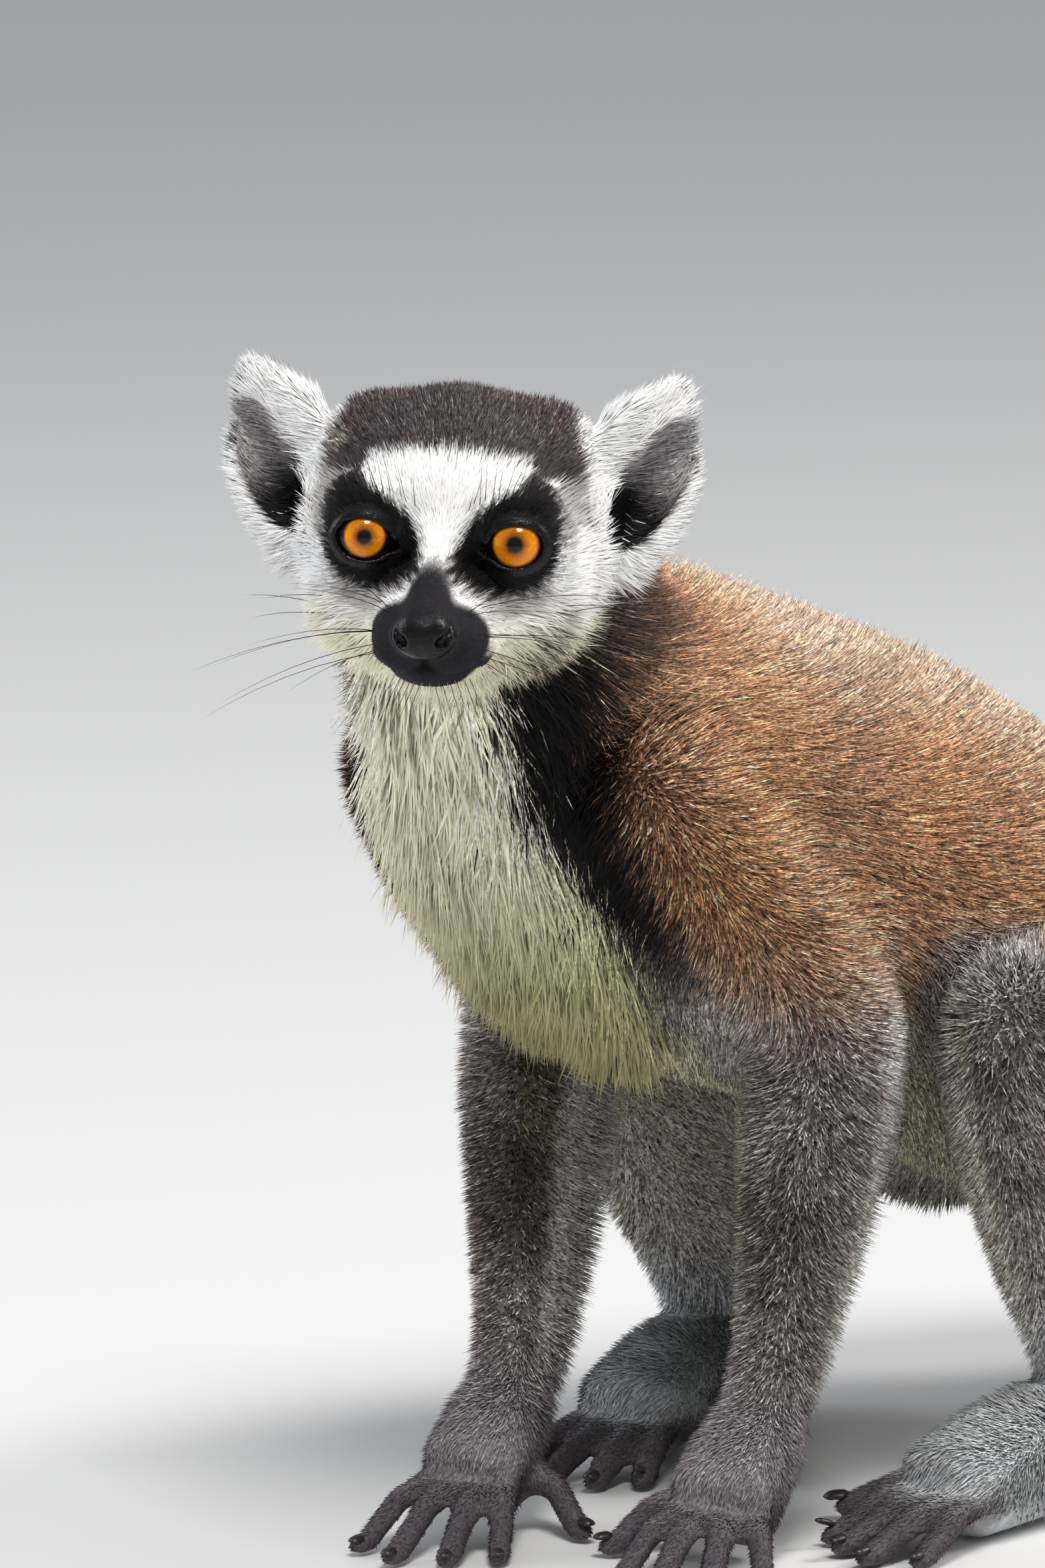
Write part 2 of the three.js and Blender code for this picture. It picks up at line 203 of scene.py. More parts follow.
def make_bones():
    """Capsules of the body: group, ends, radius at each end and coat depth at each end."""
    bones = []

    def add(group, a, b, *rest):
        bones.append((group, np.array(a, float) + SHIFT, np.array(b, float) + SHIFT, *rest))

    for (x0, y0, z0, r0, d0), (x1, y1, z1, r1, d1) in zip(SPINE, SPINE[1:]):
        add("trunk", (x0, y0, z0), (x1, y1, z1), r0, r1, d0, d1)
    for side in ("left", "right"):
        shoulder, elbow, wrist, knuckle, _ = ARM[side]
        add("upper_arm", shoulder, elbow, 14, 11, 5, 4.5)
        add("forearm", elbow, wrist, 12, 8, 4, 2.4)
        add("hand", wrist, knuckle, 8, 8, 2.0, 1.0)
        hip, knee, ankle, heel, ball, _ = LEG[side]
        add("thigh", hip, knee, 22, 13, 5, 4.5)
        add("shank", knee, ankle, 12, 9, 4, 2.6)
        add("foot", heel, ball, 9, 9, 2.0, 1.4)
        add("foot", ankle, ball, 9, 9, 2.0, 1.4)
    for _, _, start, heading, length, half, high in all_digits():
        a = digit_point(start, heading, 0, high)
        b = digit_point(start, heading, length * 0.42, high * 0.8)
        c = digit_point(start, heading, length * 0.93, half)
        group = "finger" if high == FINGER_HEIGHT else "toe"
        add(group, a, b, half, half, 0.8, 0.5)
        add(group, b, c, half, half, 0.5, 0.4)
    for (x0, y0, z0, d0), (x1, y1, z1, d1) in zip(TAIL, TAIL[1:]):
        add("tail", (x0, y0, z0), (x1, y1, z1), TAIL_RADIUS - d0, TAIL_RADIUS - d1, d0, d1)
    return bones


BONES = make_bones()
ARM_GROUPS = ("upper_arm", "forearm", "hand", "finger")
LEG_GROUPS = ("thigh", "shank", "foot", "toe")
PAW_GROUPS = ("hand", "finger", "foot", "toe")
GROUPS = ("trunk", *ARM_GROUPS, *LEG_GROUPS, "tail")


def bone_weights(p, soft=4.0):
    """Blend weights of the bones at points p, and the place along each bone."""
    near, along = np.empty((2, len(BONES), len(p)), F)
    for i, (_, a, b, ra, rb, _, _) in enumerate(BONES):
        ab = (b - a).astype(F)
        q = p - a.astype(F)
        t = np.clip(q @ ab / F(ab @ ab), 0, 1)
        near[i] = norm(q - t[:, None] * ab)
        near[i] -= ra + (rb - ra) * t
        along[i] = t
    w = np.exp(-(near - near.min(0)) / soft)
    w /= w.sum(0)
    return w, along


# ---- signed distances, and the head's shape ----
def smin(a, b, k):
    h = np.maximum(k - np.abs(a - b), 0) / k
    return np.minimum(a, b) - h * h * k * F(0.25)


def smax(a, b, k):
    return -smin(-a, -b, k)


def step(lo, hi, x):
    """0 below lo, 1 above hi and smooth between; lo may be the larger."""
    t = np.clip((x - lo) / (hi - lo), 0, 1)
    return t * t * (3 - 2 * t)


def ellipsoid(q, centre, radii):
    radii = np.array(radii, F)
    d = q - np.array(centre, F)
    k = norm(d / radii)
    return k * (k - 1) / np.maximum(norm(d / (radii * radii)), F(1e-6))


def cone(q, a, b, ra, rb):
    a, b = np.array(a, F), np.array(b, F)
    ab = b - a
    t = np.clip((q - a) @ ab / (ab @ ab), 0, 1)
    return norm(q - a - t[:, None] * ab) - (ra + (rb - ra) * t)


# The ear's own frame, its middle, its outline and its hollow.
EAR_UP = unit([0.26, -0.05, 0.96])
EAR_AIM = np.array([0.36, 0.93, 0.05])
EAR_FACE = unit(EAR_AIM - (EAR_AIM @ EAR_UP) * EAR_UP)
EAR_FRAME = np.array([np.cross(EAR_FACE, EAR_UP), EAR_FACE, EAR_UP])
EAR_SPOT = np.array([37.4, -37.5, 12.0], F)
EAR_OVAL = ((0.6, 0.0, -0.5), (12.8, 7.5, 23.0))
EAR_FRONT = 2.6  # where the ear's front is cut flat
CONCH = ((4.2, 4.2, -0.8), (6.8, 8.4, 15.4))
CONCH_LEAN = 0.2
LID_RADIUS = 9.75
LID_TILT = 7  # degrees, up at the outer corner
# Middle, radii and blend of each rounded mass that is added to the skull.
SKULL = ((0, -31, 3), (24, 26, 24.5))
MASSES = [
    ((19, -36, 10), (12, 14, 14), 9),  # side of the crown
    ((0, -13, 7), (19, 13, 12), 8),  # forehead
    ((18.5, -19, -10), (9.5, 14, 12), 8),  # cheek
    ((9, -17, -19), (11, 15, 8), 8),  # root of the jaw
    ((23.5, -31, -5), (8.5, 9, 10), 8),  # temple
    ((16.8, -8.6, 0.6), (10.8, 9.4, 10.4), 4),  # socket of the eye
    ((15.5, -5.5, 9.6), (8.5, 5.5, 3.0), 5),  # brow
]


def to_ear(q):
    """Points in the left ear's own frame: outwards, to its front, and up."""
    return ((q - EAR_SPOT) @ EAR_FRAME.T.astype(F)).astype(F)


def grown(oval, by):
    return oval[0], tuple(r + by for r in oval[1])


def ear_tip(d, e, room=0.0):
    """Cuts an ear's oval to its point, high and to the outside; room moves the cuts out."""
    d = smax(d, F(-0.64) * e[:, 0] + F(0.768) * e[:, 2] - F(14.4 + room), 4)
    return smax(d, F(0.87) * e[:, 0] + F(0.493) * e[:, 2] - F(14.2 + room), 4)


def conch_distance(e):
    leaned = e.copy()
    leaned[:, 0] -= F(CONCH_LEAN) * (e[:, 2] + 1)
    return ellipsoid(leaned, *CONCH)


def head_shape(q):
    """Signed distance to the skin of the head without its neck; q is folded."""
    d = ellipsoid(q, *SKULL)
    for middle, radii, blend in MASSES:
        d = smin(d, ellipsoid(q, middle, radii), blend)
    e = to_ear(q)
    ear = smax(ear_tip(ellipsoid(e, *EAR_OVAL), e), e[:, 1] - EAR_FRONT, 1.2)
    ear = smin(ear, cone(q, (24, -37, 3), (35, -40, 6), 10, 6), 6)
    d = smax(smin(d, ear, 4), -conch_distance(e), 1.2)
    # The snout: its bridge, the pads of the upper lip, the eyeball's bulge and the jaw.
    bridge = cone(q, (0, -2, -2.5), (0, 25, -15.3), 5.2, 4.6)
    lip = cone(q, (3.6, -1, -14), (4.9, 17.0, -18.9), 8.0, 6.9)
    lip = smin(lip, cone(q, (8, -6, -16), (5, 8, -18), 8, 7), 4)
    d = smin(d, smin(bridge, lip, 2.6), 4.5)
    d = smin(d, ellipsoid(q, EYE_SPOT, (LID_RADIUS,) * 3), 2.0)
    jaw = ellipsoid(q, (0, 2.5, -25.4), (9.4, 17.3, 4.9))
    jaw = smin(jaw, ellipsoid(q, (0, -14, -23), (12, 14, 7)), 5)
    d = smin(d, ellipsoid(q, (9.6, 6.0, -22.6), (2.9, 6.5, 2.8)), 3)
    d = smin(d, jaw, 0.5)
    # The nose pad with its nostrils and the groove below it.
    d = smin(d, ellipsoid(q, (0, 25.4, -17.0), (6.3, 4.6, 4.6)), 3.6)
    nostril = ellipsoid(q, (4.4, 28.9, -18.0), (1.45, 2.4, 1.5))
    nostril = smin(nostril, cone(q, (5.2, 28.2, -17.0), (6.5, 25.8, -13.6), 1.0, 0.5), 0.8)
    d = smax(d, -nostril, 0.8)
    d = smax(d, -cone(q, (0, 30.3, -19.6), (0, 26.4, -24.5), 0.8, 0.5), 0.8)
    # The opening of the lids, and the crease over it.
    d = smax(d, -np.maximum(lid_opening(q), -(q[:, 1] + F(5.5))), 0.7)
    off = np.hypot(q[:, 0] - EYE_SPOT[0], q[:, 2] - 0.2)
    crease = np.exp(-(((off - 7.4) / 0.6) ** 2)) * step(0, 3, q[:, 2]) * step(-7, -5, q[:, 1])
    return d + F(0.4) * crease.astype(F)


def ring(x, y, wide, tall):
    return np.sqrt((x / wide) ** 2 + (y / tall) ** 2) - 1


def lid_opening(q):
    """Below 0 inside the opening of the lids, seen from the front of the eye."""
    tilt = math.radians(LID_TILT)
    cos, sin = F(math.cos(tilt)), F(math.sin(tilt))
    x, y = q[:, 0] - F(16.4), q[:, 2] + F(0.25)
    main = ring(x * cos + y * sin, y * cos - x * sin, 5.9, 4.5) * F(4.5)
    corner = ring(q[:, 0] - 10.6, q[:, 2] + 1.6, 2.0, 1.1) * F(1.2)
    return smin(main, corner, 1.2)


def folded(p):
    """Points in the head frame with both halves laid on its left half."""
    q = to_head(p).astype(F)
    q[:, 0] = np.abs(q[:, 0])
    return q


NOSE_PAD = ((0, 25.6, -17.0), (7.4, 5.4, 5.4))
NECK_TOP = from_head((0, -32, -8))
NECK_BASE = np.array([-1, -28, 198.0]) + SHIFT
NECK_BLEND = 12


def head_field(p):
    return smin(head_shape(folded(p)), cone(p, NECK_TOP, NECK_BASE, 18, 27), NECK_BLEND).astype(F)


# ---- the skin: the CAD's flesh, rounded and drawn in by the coat's depth ----
HEAD_NODES = ("head", "muzzle", "lower_jaw", "nose", "ear_left", "ear_right")
EYE_NODES = ("eye_left", "eye_right")
FLESH = [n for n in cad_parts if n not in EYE_NODES]
VOXEL = 1.35
SEAM = 0.4  # closes the CAD's gaps
NEAR_OUT, NEAR_IN = 8.0, 22.0  # reach of the distance field outside and inside, in voxels
ROUNDING, FINE_ROUNDING = 4.2, 0.75  # blur of the flesh, and of the hands and feet
HEAD_BLEND = 9
HEAD_BLOCK = 70  # half the side of the block in which the head is added
COARSE = 4  # the coat's depth is worked out at one voxel in four
THIN_RATIO = 0.36  # share of the faces that is left away from the head and paws
SKIN_CLIP = 4.0  # the skin's field is kept within this
MARGIN = 6  # room round the CAD in the field
HEAD_REACH = 62  # points nearer than this to HEAD_SPOT are moved onto the head's shape


def node_arrays(names):
    points, faces, base = [], [], 0
    for name in names:
        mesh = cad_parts[name].data
        co = np.empty(len(mesh.vertices) * 3, F)
        mesh.vertices.foreach_get("co", co)
        mesh.calc_loop_triangles()
        tri = np.empty(len(mesh.loop_triangles) * 3, np.int32)
        mesh.loop_triangles.foreach_get("vertices", tri)
        points.append(co.reshape(-1, 3) / F(MM))
        faces.append(tri.reshape(-1, 3) + base)
        base += len(mesh.vertices)
    return np.vstack(points), np.vstack(faces).astype(np.uint32)


def blur(a, sigma):
    reach = max(1, int(math.ceil(sigma * 2.5)))
    taps = np.exp(-(np.arange(-reach, reach + 1) ** 2) / (2 * sigma * sigma))
    taps = (taps / taps.sum()).astype(F)
    for axis in range(3):
        moved = np.moveaxis(a, axis, 0)
        ends = np.repeat(moved[:1], reach, 0), moved, np.repeat(moved[-1:], reach, 0)
        padded = np.concatenate(ends)
        out = taps[0] * padded[: len(moved)]
        for i in range(1, len(taps)):
            out += taps[i] * padded[i : i + len(moved)]
        a = np.moveaxis(out, 0, axis)
    return np.ascontiguousarray(a)


def upsample(coarse, shape):
    out = coarse
    for axis, n in enumerate(shape):
        x = np.arange(n) / COARSE
        i = np.minimum(x.astype(int), out.shape[axis] - 2)
        t = (x - i).astype(F)
        moved = np.moveaxis(out, axis, 0)
        t = t.reshape(-1, *([1] * (moved.ndim - 1)))
        out = np.moveaxis(moved[i] * (1 - t) + moved[i + 1] * t, 0, axis)
    return np.ascontiguousarray(out)


def index_points(lo, hi, stride=1):
    axes = [np.arange(a, b, stride) for a, b in zip(lo, hi)]
    grid = np.stack(np.meshgrid(*axes, indexing="ij"), -1)
    return (grid.reshape(-1, 3) * VOXEL).astype(F), grid.shape[:3]


def sampler(grid, corner):
    """A function that reads the grid between its points; corner is its first index."""
    top = np.array(grid.shape) - 2

    def read(p):
        x = p / F(VOXEL) - corner.astype(F)
        i = np.clip(np.floor(x).astype(int), 0, top)
        t = np.clip(x - i, 0, 1).astype(F)
        out = np.zeros(len(p), F)
        for d in np.ndindex(2, 2, 2):
            w = np.where(d, t, 1 - t)
            out += w[:, 0] * w[:, 1] * w[:, 2] * grid[tuple((i + d).T)]
        return out

    return read


def skin_surface():
    """The skin as a triangle mesh, and its field near the head."""
    points, faces = node_arrays([n for n in FLESH if n not in HEAD_NODES])
    at = vdb.createLinearTransform(voxelSize=VOXEL)
    make = vdb.FloatGrid.createLevelSetFromPolygons
    thin = make(points, triangles=faces, transform=at, halfWidth=3.0)
    points, faces, quads = thin.convertToPolygons(isovalue=SEAM)
    reach = {"exBandWidth": NEAR_OUT, "inBandWidth": NEAR_IN}
    wide = make(points, triangles=faces, quads=quads, transform=at, **reach)
    lo = np.floor((np.array(CAD_BOX[0]) / MM - MARGIN) / VOXEL).astype(int)
    hi = np.ceil((np.array(CAD_BOX[1]) / MM + MARGIN) / VOXEL).astype(int)
    shape, start = tuple(hi - lo), tuple(int(i) for i in lo)
    dense = np.full(shape, NEAR_OUT * VOXEL, F)
    wide.copyToArray(dense, ijk=start)
    dense += F(SEAM)
    p, small = index_points(lo, hi + 2 * COARSE, COARSE)
    w, along = bone_weights(p, 6.0)
    depth, fine = np.zeros((2, len(p)), F)
    for i, (group, *_, da, db) in enumerate(BONES):
        depth += w[i] * (da + (db - da) * along[i])
        if group in PAW_GROUPS:
            fine += w[i]
    soft = blur(dense, ROUNDING / VOXEL)
    crisp = blur(dense, FINE_ROUNDING / VOXEL)
    fine = upsample(fine.reshape(small), shape)
    soft += (crisp - soft) * np.clip(fine * 1.6 - 0.3, 0, 1)
    soft += upsample(depth.reshape(small), shape)
    centre = HEAD_SPOT / VOXEL
    a = np.maximum(np.floor(centre - HEAD_BLOCK / VOXEL).astype(int), lo)
    b = np.minimum(np.ceil(centre + HEAD_BLOCK / VOXEL).astype(int), hi)
    p, part = index_points(a, b)
    a0, b0 = a - lo, b - lo
    block = soft[a0[0] : b0[0], a0[1] : b0[1], a0[2] : b0[2]]
    body = sampler(block.copy(), a)
    block[...] = smin(block, head_field(p).reshape(part), HEAD_BLEND)
    np.clip(soft, -SKIN_CLIP, SKIN_CLIP, out=soft)
    field = vdb.FloatGrid(SKIN_CLIP)
    field.transform = at
    field.copyFromArray(soft, ijk=start, tolerance=0.0)
    verts, tris, quads = field.convertToPolygons(isovalue=0.0)
    faces = np.vstack([tris, quads[:, [0, 1, 2]], quads[:, [0, 2, 3]]])
    return verts, faces.astype(np.int64), lambda p: smin(body(p), head_field(p), HEAD_BLEND)


def new_mesh(name, verts, faces):
    """A mesh object from points in millimetres."""
    mesh = bpy.data.meshes.new(name)
    mesh.vertices.add(len(verts))
    mesh.vertices.foreach_set("co", (np.asarray(verts) * MM).astype(F).ravel())
    mesh.loops.add(faces.size)
    mesh.loops.foreach_set("vertex_index", np.ascontiguousarray(faces, np.int32).ravel())
    mesh.polygons.add(len(faces))
    starts = np.arange(0, faces.size, faces.shape[1], dtype=np.int32)
    mesh.polygons.foreach_set("loop_start", starts)
    mesh.polygons.foreach_set("use_smooth", np.ones(len(faces), bool))
    mesh.update(calc_edges=True)
    obj = bpy.data.objects.new(name, mesh)
    bpy.context.scene.collection.objects.link(obj)
    return obj


def put(obj, name, kind, values):
    """Stores a value for each of the mesh's points under a name."""
    field = {"FLOAT": "value", "FLOAT_VECTOR": "vector", "FLOAT_COLOR": "color"}[kind]
    row = obj.data.attributes.new(name, kind, "POINT")
    row.data.foreach_set(field, np.asarray(values, F).ravel())


def lay_out(obj, spots, faces):
    """Stores each point's place on the map of the bake."""
    layer = obj.data.uv_layers.new(name="OFBake")
    layer.data.foreach_set("uv", spots.reshape(-1, 2)[faces.ravel()].astype(F).ravel())


def tube(rings, spokes, first=0):
    """Faces round circles of points, the first of them point first, and on to a last point."""
    here = np.arange(first, first + rings * spokes).reshape(rings, spokes)
    there, end = np.roll(here, -1, 1), np.full((1, spokes), first + rings * spokes)
    a, b, c, d = here[:-1], there[:-1], here[1:], there[1:]
    corners = (a, b, d), (a, d, c), (here[-1:], there[-1:], end)
    return np.vstack([np.stack([x.ravel() for x in face], 1) for face in corners])


def ball(rings, spokes):
    """Faces round a first point, circles of points and a last point."""
    fan = [[0, 1 + (j + 1) % spokes, 1 + j] for j in range(spokes)]
    return np.vstack([fan, tube(rings, spokes, 1)])


def copies(faces, size, n):
    """The faces of n shapes that have the same faces and size points each."""
    return (np.array(faces)[None] + (np.arange(n) * size)[:, None, None]).reshape(-1, 3)


def arrays_of(obj):
    mesh = obj.data
    co = np.empty(len(mesh.vertices) * 3, F)
    mesh.vertices.foreach_get("co", co)
    corners = np.empty(len(mesh.loops), np.int32)
    mesh.loops.foreach_get("vertex_index", corners)
    return co.reshape(-1, 3) / F(MM), corners.reshape(-1, 3).astype(np.int64)


def thinned(verts, faces, thin, ratio):
    """The mesh with fewer faces where thin is true."""
    obj = new_mesh("thinning", verts, faces)
    obj.vertex_groups.new(name="thin").add(np.nonzero(thin)[0].tolist(), 1.0, "REPLACE")
    mod = obj.modifiers.new("thin", "DECIMATE")
    mod.ratio = ratio
    mod.vertex_group = "thin"
    mod.vertex_group_factor = 4.0
    mod.use_collapse_triangulate = True
    graph = bpy.context.evaluated_depsgraph_get()
    done = bpy.data.meshes.new_from_object(obj.evaluated_get(graph))
    bpy.data.objects.remove(obj)
    obj = bpy.data.objects.new("thinned", done)
    out = arrays_of(obj)
    bpy.data.objects.remove(obj)
    return out


# The faces that take a face's place when its first 0, 1, 2 or 3 edges are split: corners 0 to 2
# are its own, and 3 to 5 are the middles of its edges.
SPLITS = (
    ((0, 1, 2),),
    ((0, 3, 2), (3, 1, 2)),
    ((3, 1, 4), (0, 3, 4), (0, 4, 2)),
    ((0, 3, 5), (3, 1, 4), (5, 4, 2), (3, 4, 5)),
)


def split_long(verts, faces, target):
    """Splits every edge that is longer than target at its middle."""
    n = len(verts)
    e = np.sort(faces[:, [0, 1, 1, 2, 2, 0]].reshape(-1, 2), axis=1)
    keys, which = np.unique(e[:, 0] * n + e[:, 1], return_inverse=True)
    a, b = keys // n, keys % n
    middle = (verts[a] + verts[b]) / 2
    long = norm(verts[a] - verts[b]) > target(middle)
    new = np.full(len(keys), -1)
    new[long] = n + np.arange(long.sum())
    m = new[which].reshape(-1, 3)
    count = (m >= 0).sum(1)
    # Each face is turned so that its split edges come first.
    for turn in (1, 2):
        t = (turn, (turn + 1) % 3, (turn + 2) % 3)
        one = (count == 1) & (m[:, 0] < 0) & (m[:, turn] >= 0)
        two = (count == 2) & (m[:, 2] >= 0) & (m[:, t[2]] < 0)
        pick = one | two
        faces[pick] = faces[pick][:, t]
        m[pick] = m[pick][:, t]
    both = np.hstack([faces, m])
    out = [both[count == k][:, list(c)] for k, corners in enumerate(SPLITS) for c in corners]
    return np.vstack([verts, middle[long]]).astype(F), np.vstack(out)


def settle(verts, pick, field, rounds=3):
    """Moves the picked points onto the field's surface."""
    p = verts[pick]
    corners = np.array([[1, -1, -1], [-1, -1, 1], [-1, 1, -1], [1, 1, 1]], F)
    probe = F(0.2)
    for _ in range(rounds):
        g = np.zeros_like(p)
        for c in corners:
            g += c * field(p + c * probe)[:, None]
        g /= 4 * probe
        size = np.maximum((g * g).sum(1), F(0.3))
        p = p - np.clip(field(p) / size, -0.8, 0.8)[:, None] * g
    verts[pick] = p


def face_edge(p):
    """The longest edge the skin may have at points p."""
    q = folded(p)
    eye = norm(q - np.array([EYE_SPOT[0], 1, 0], F))
    core = np.minimum(eye, ellipsoid(q, (0, 20, -19), (12, 13, 11)) + 6)
    edge = np.where(ellipsoid(to_ear(q), *grown(EAR_OVAL, 2.0)) < 0, 1.15, 9.0)
    edge = np.where(ellipsoid(q, (0, 2, -8), (27, 30, 24)) < 0, 1.0, edge)
    return np.where(core < 11, 0.62, edge)


def make_skin():
    verts, faces, field = skin_surface()
    w, _ = bone_weights(verts)
    fine = sum(w[i] for i, bone in enumerate(BONES) if bone[0] in PAW_GROUPS)
    q = folded(verts)
    face = ellipsoid(q, (0, -8, 0), (54, 46, 42)) < 0
    verts, faces = thinned(verts, faces, (fine < 0.5) & ~face, THIN_RATIO)
    for _ in range(2):
        verts, faces = split_long(verts, faces, face_edge)
        near = norm(verts - HEAD_SPOT) < HEAD_REACH
        settle(verts, np.nonzero(near)[0], field)
    return verts, faces


verts, faces = make_skin()
skin = new_mesh("skin", verts, faces)


# ---- what each point of the skin belongs to ----
def run_along(line):
    """How far each point of a line is along it."""
    return np.concatenate([[0], np.cumsum(norm(np.diff(line, axis=0)))])


TAIL_RUN = run_along(np.array(TAIL, float)[:, :3])
NOSE_SPOT = np.array([0, 24, -15], F)  # the head's hair grows away from here


def lie_of(p):
    """Group shares, the coat's depth, the run along the tail and the bones' direction."""
    w, along = bone_weights(p)
    shares = {g: np.zeros(len(p), F) for g in GROUPS}
    depth, run = np.zeros((2, len(p)), F)
    lie = np.zeros((len(p), 3), F)
    first_tail = [bone[0] for bone in BONES].index("tail")
    for i, (group, a, b, _, _, da, db) in enumerate(BONES):
        shares[group] += w[i]
        depth += w[i] * (da + (db - da) * along[i])
        lie += w[i][:, None] * unit(b - a).astype(F)
        if group == "tail":
            k = i - first_tail
            run += w[i] * (TAIL_RUN[k] + along[i] * (TAIL_RUN[k + 1] - TAIL_RUN[k]))
    run /= np.maximum(shares["tail"], F(1e-3))
    return shares, depth, run, lie


# Ovals of the head frame that hold the head's own coat.
HEAD_OVALS = [
    ((0, -22, -1), (30, 40, 31)),
    ((24, -40, 8), (22, 16, 22)),
    ((24, -29, -9), (19, 17, 18)),
    ((0, 10, -18), (18, 24, 15)),
]


def head_share(q):
    """1 on the head, 0 on the body; q is folded."""
    d = ellipsoid(to_ear(q), *grown(EAR_OVAL, 4.5))
    for oval in HEAD_OVALS:
        d = np.minimum(d, ellipsoid(q, *oval))
    return step(6, 0, d)


# ---- colours, from sRGB levels ----
def rgb(*level):
    c = np.array(level, float) / 255
    return np.where(c <= 0.04045, c / 12.92, ((c + 0.055) / 1.055) ** 2.4).astype(F)


WHITE = rgb(252, 251, 249)
CREAM = rgb(240, 234, 208)
SHADED_OLIVE = rgb(170, 164, 117)
MOSS_SHADE = rgb(138, 131, 92)
SHADED_BELLY = rgb(170, 162, 138)
BAND = rgb(13, 10, 10)
COLLAR = rgb(58, 46, 41)
BROWN = rgb(161, 122, 96)
RUST = rgb(190, 137, 99)
SADDLE_AND_TOP_LIGHT = rgb(190, 164, 143)
ARM_GREY = rgb(166, 152, 144)
FOREARM_GREY_SHADED = rgb(146, 137, 132)
DUSKY_HAIR_AND_SHADE = rgb(74, 64, 61)
FRINGE = rgb(232, 226, 210)
THIGH_GREY = rgb(158, 147, 143)
KNEE_TOP_LIGHT = rgb(205, 200, 197)
SHANK_CREAM = rgb(208, 201, 180)
HAND_GREY = rgb(150, 143, 146)
DIGIT_GREY = rgb(88, 82, 86)
FOOT_GREY = rgb(200, 202, 204)
TAIL_WHITE = rgb(232, 229, 222)
TAIL_BLACK = rgb(20, 17, 17)
CROWN = rgb(66, 58, 60)
TEMPLE = rgb(138, 130, 127)
PATCH_BLACK = rgb(15, 12, 13)
SNOUT_BLACK = rgb(24, 22, 27)
NOSE_BLACK = rgb(9, 8, 10)
LID_BLACK = rgb(14, 12, 14)
CONCH_GREY = rgb(168, 163, 164)
CONCH_BLACK = rgb(16, 13, 14)
UNDER_EYE = rgb(88, 78, 79)
CHEEK_SHADE = rgb(236, 231, 202)

# The eye patch's edge in the head frame, from the blaze round over the eye and back under it.
PATCH_EDGE = [
    (2.6, -5.0), (3.4, -2), (5.2, 2.2), (7.6, 6.2), (11.4, 9.6), (15.4, 12.0), (19, 13.6),
    (22.6, 13.4), (25, 10.6), (26.2, 6), (26.4, 0.5), (25.2, -5), (22, -9.4), (17.5, -11.2),
    (12.5, -11), (8.6, -9.2), (5.2, -7.4),
]  # fmt: skip
# The black shoulder band: middle line, and half width at each point.
BAND_LINE = [
    (30, -42, 214, 17), (31, -47, 197, 16), (33, -47, 179, 15), (34, -42, 162, 14),
    (35, -28, 145, 11.5), (33, -14, 129, 9.5), (31, -3, 114, 8),
]  # fmt: skip
# The direction across the band at each of its points, away from the chest.
BAND_OUT = [
    (0.12, 0.84, 0.53), (0.6, 0.7, 0.3), (0.79, 0.58, 0.2), (0.85, 0.5, 0.1),
    (0.9, 0.2, 0.2), (0.87, -0.1, 0.35), (0.76, -0.41, 0.5),
]  # fmt: skip
TAIL_RINGS = 13.5
TAIL_START = 24  # run along the tail at which its rings begin


def edge_distance(u, v, edge):
    """Signed distance in the plane to a closed outline, below 0 inside it."""
    best = np.full(len(u), 1e9, F)
    inside = np.zeros(len(u), bool)
    for (x0, y0), (x1, y1) in zip(edge, edge[1:] + edge[:1]):
        dx, dy = x1 - x0, y1 - y0
        t = np.clip(((u - x0) * dx + (v - y0) * dy) / (dx * dx + dy * dy), 0, 1)
        best = np.minimum(best, np.hypot(u - x0 - t * dx, v - y0 - t * dy))
        inside ^= ((y0 > v) != (y1 > v)) & (u < dx * (v - y0) / (dy if dy else 1e-9) + x0)
    return np.where(inside, -best, best)


def snout_distance(q):
    """Below 0 inside the snout's black."""
    d = cone(q, (0, 3, -3.5), (0, 27, -15), 3.1, 6.4)
    d = smin(d, ellipsoid(q, (5.2, 15.5, -19.0), (8.2, 13.5, 8.0)), 3)
    d = smin(d, ellipsoid(q, (0, 12, -26.0), (9, 12, 5.4)), 2)
    return smin(d, ellipsoid(q, (9.9, 6.5, -24.0), (3.6, 6.5, 3.2)), 2)


def on_patch(q):
    """Share of the part of the head, before the temple, that the eye patch may cover."""
    return step(-10.5, -8, q[:, 1])


def ear_place(q):
    """Points in the ear's frame, and shares of the ear, its hollow and its rim."""
    e = to_ear(q)
    ear = step(3.5, 0, ear_tip(ellipsoid(e, *grown(EAR_OVAL, 2.5)), e, 2.5))
    ear *= step(-24, -16, e[:, 2])
    hollow = step(2.2, 0.8, conch_distance(e)) * step(-6.0, -4.8, e[:, 1]) * ear
    flat = e * np.array([1, 0, 1], F)
    rim = step(-3.6, -1.2, ear_tip(ellipsoid(flat, *EAR_OVAL), e)) * ear
    return e, ear, hollow, rim


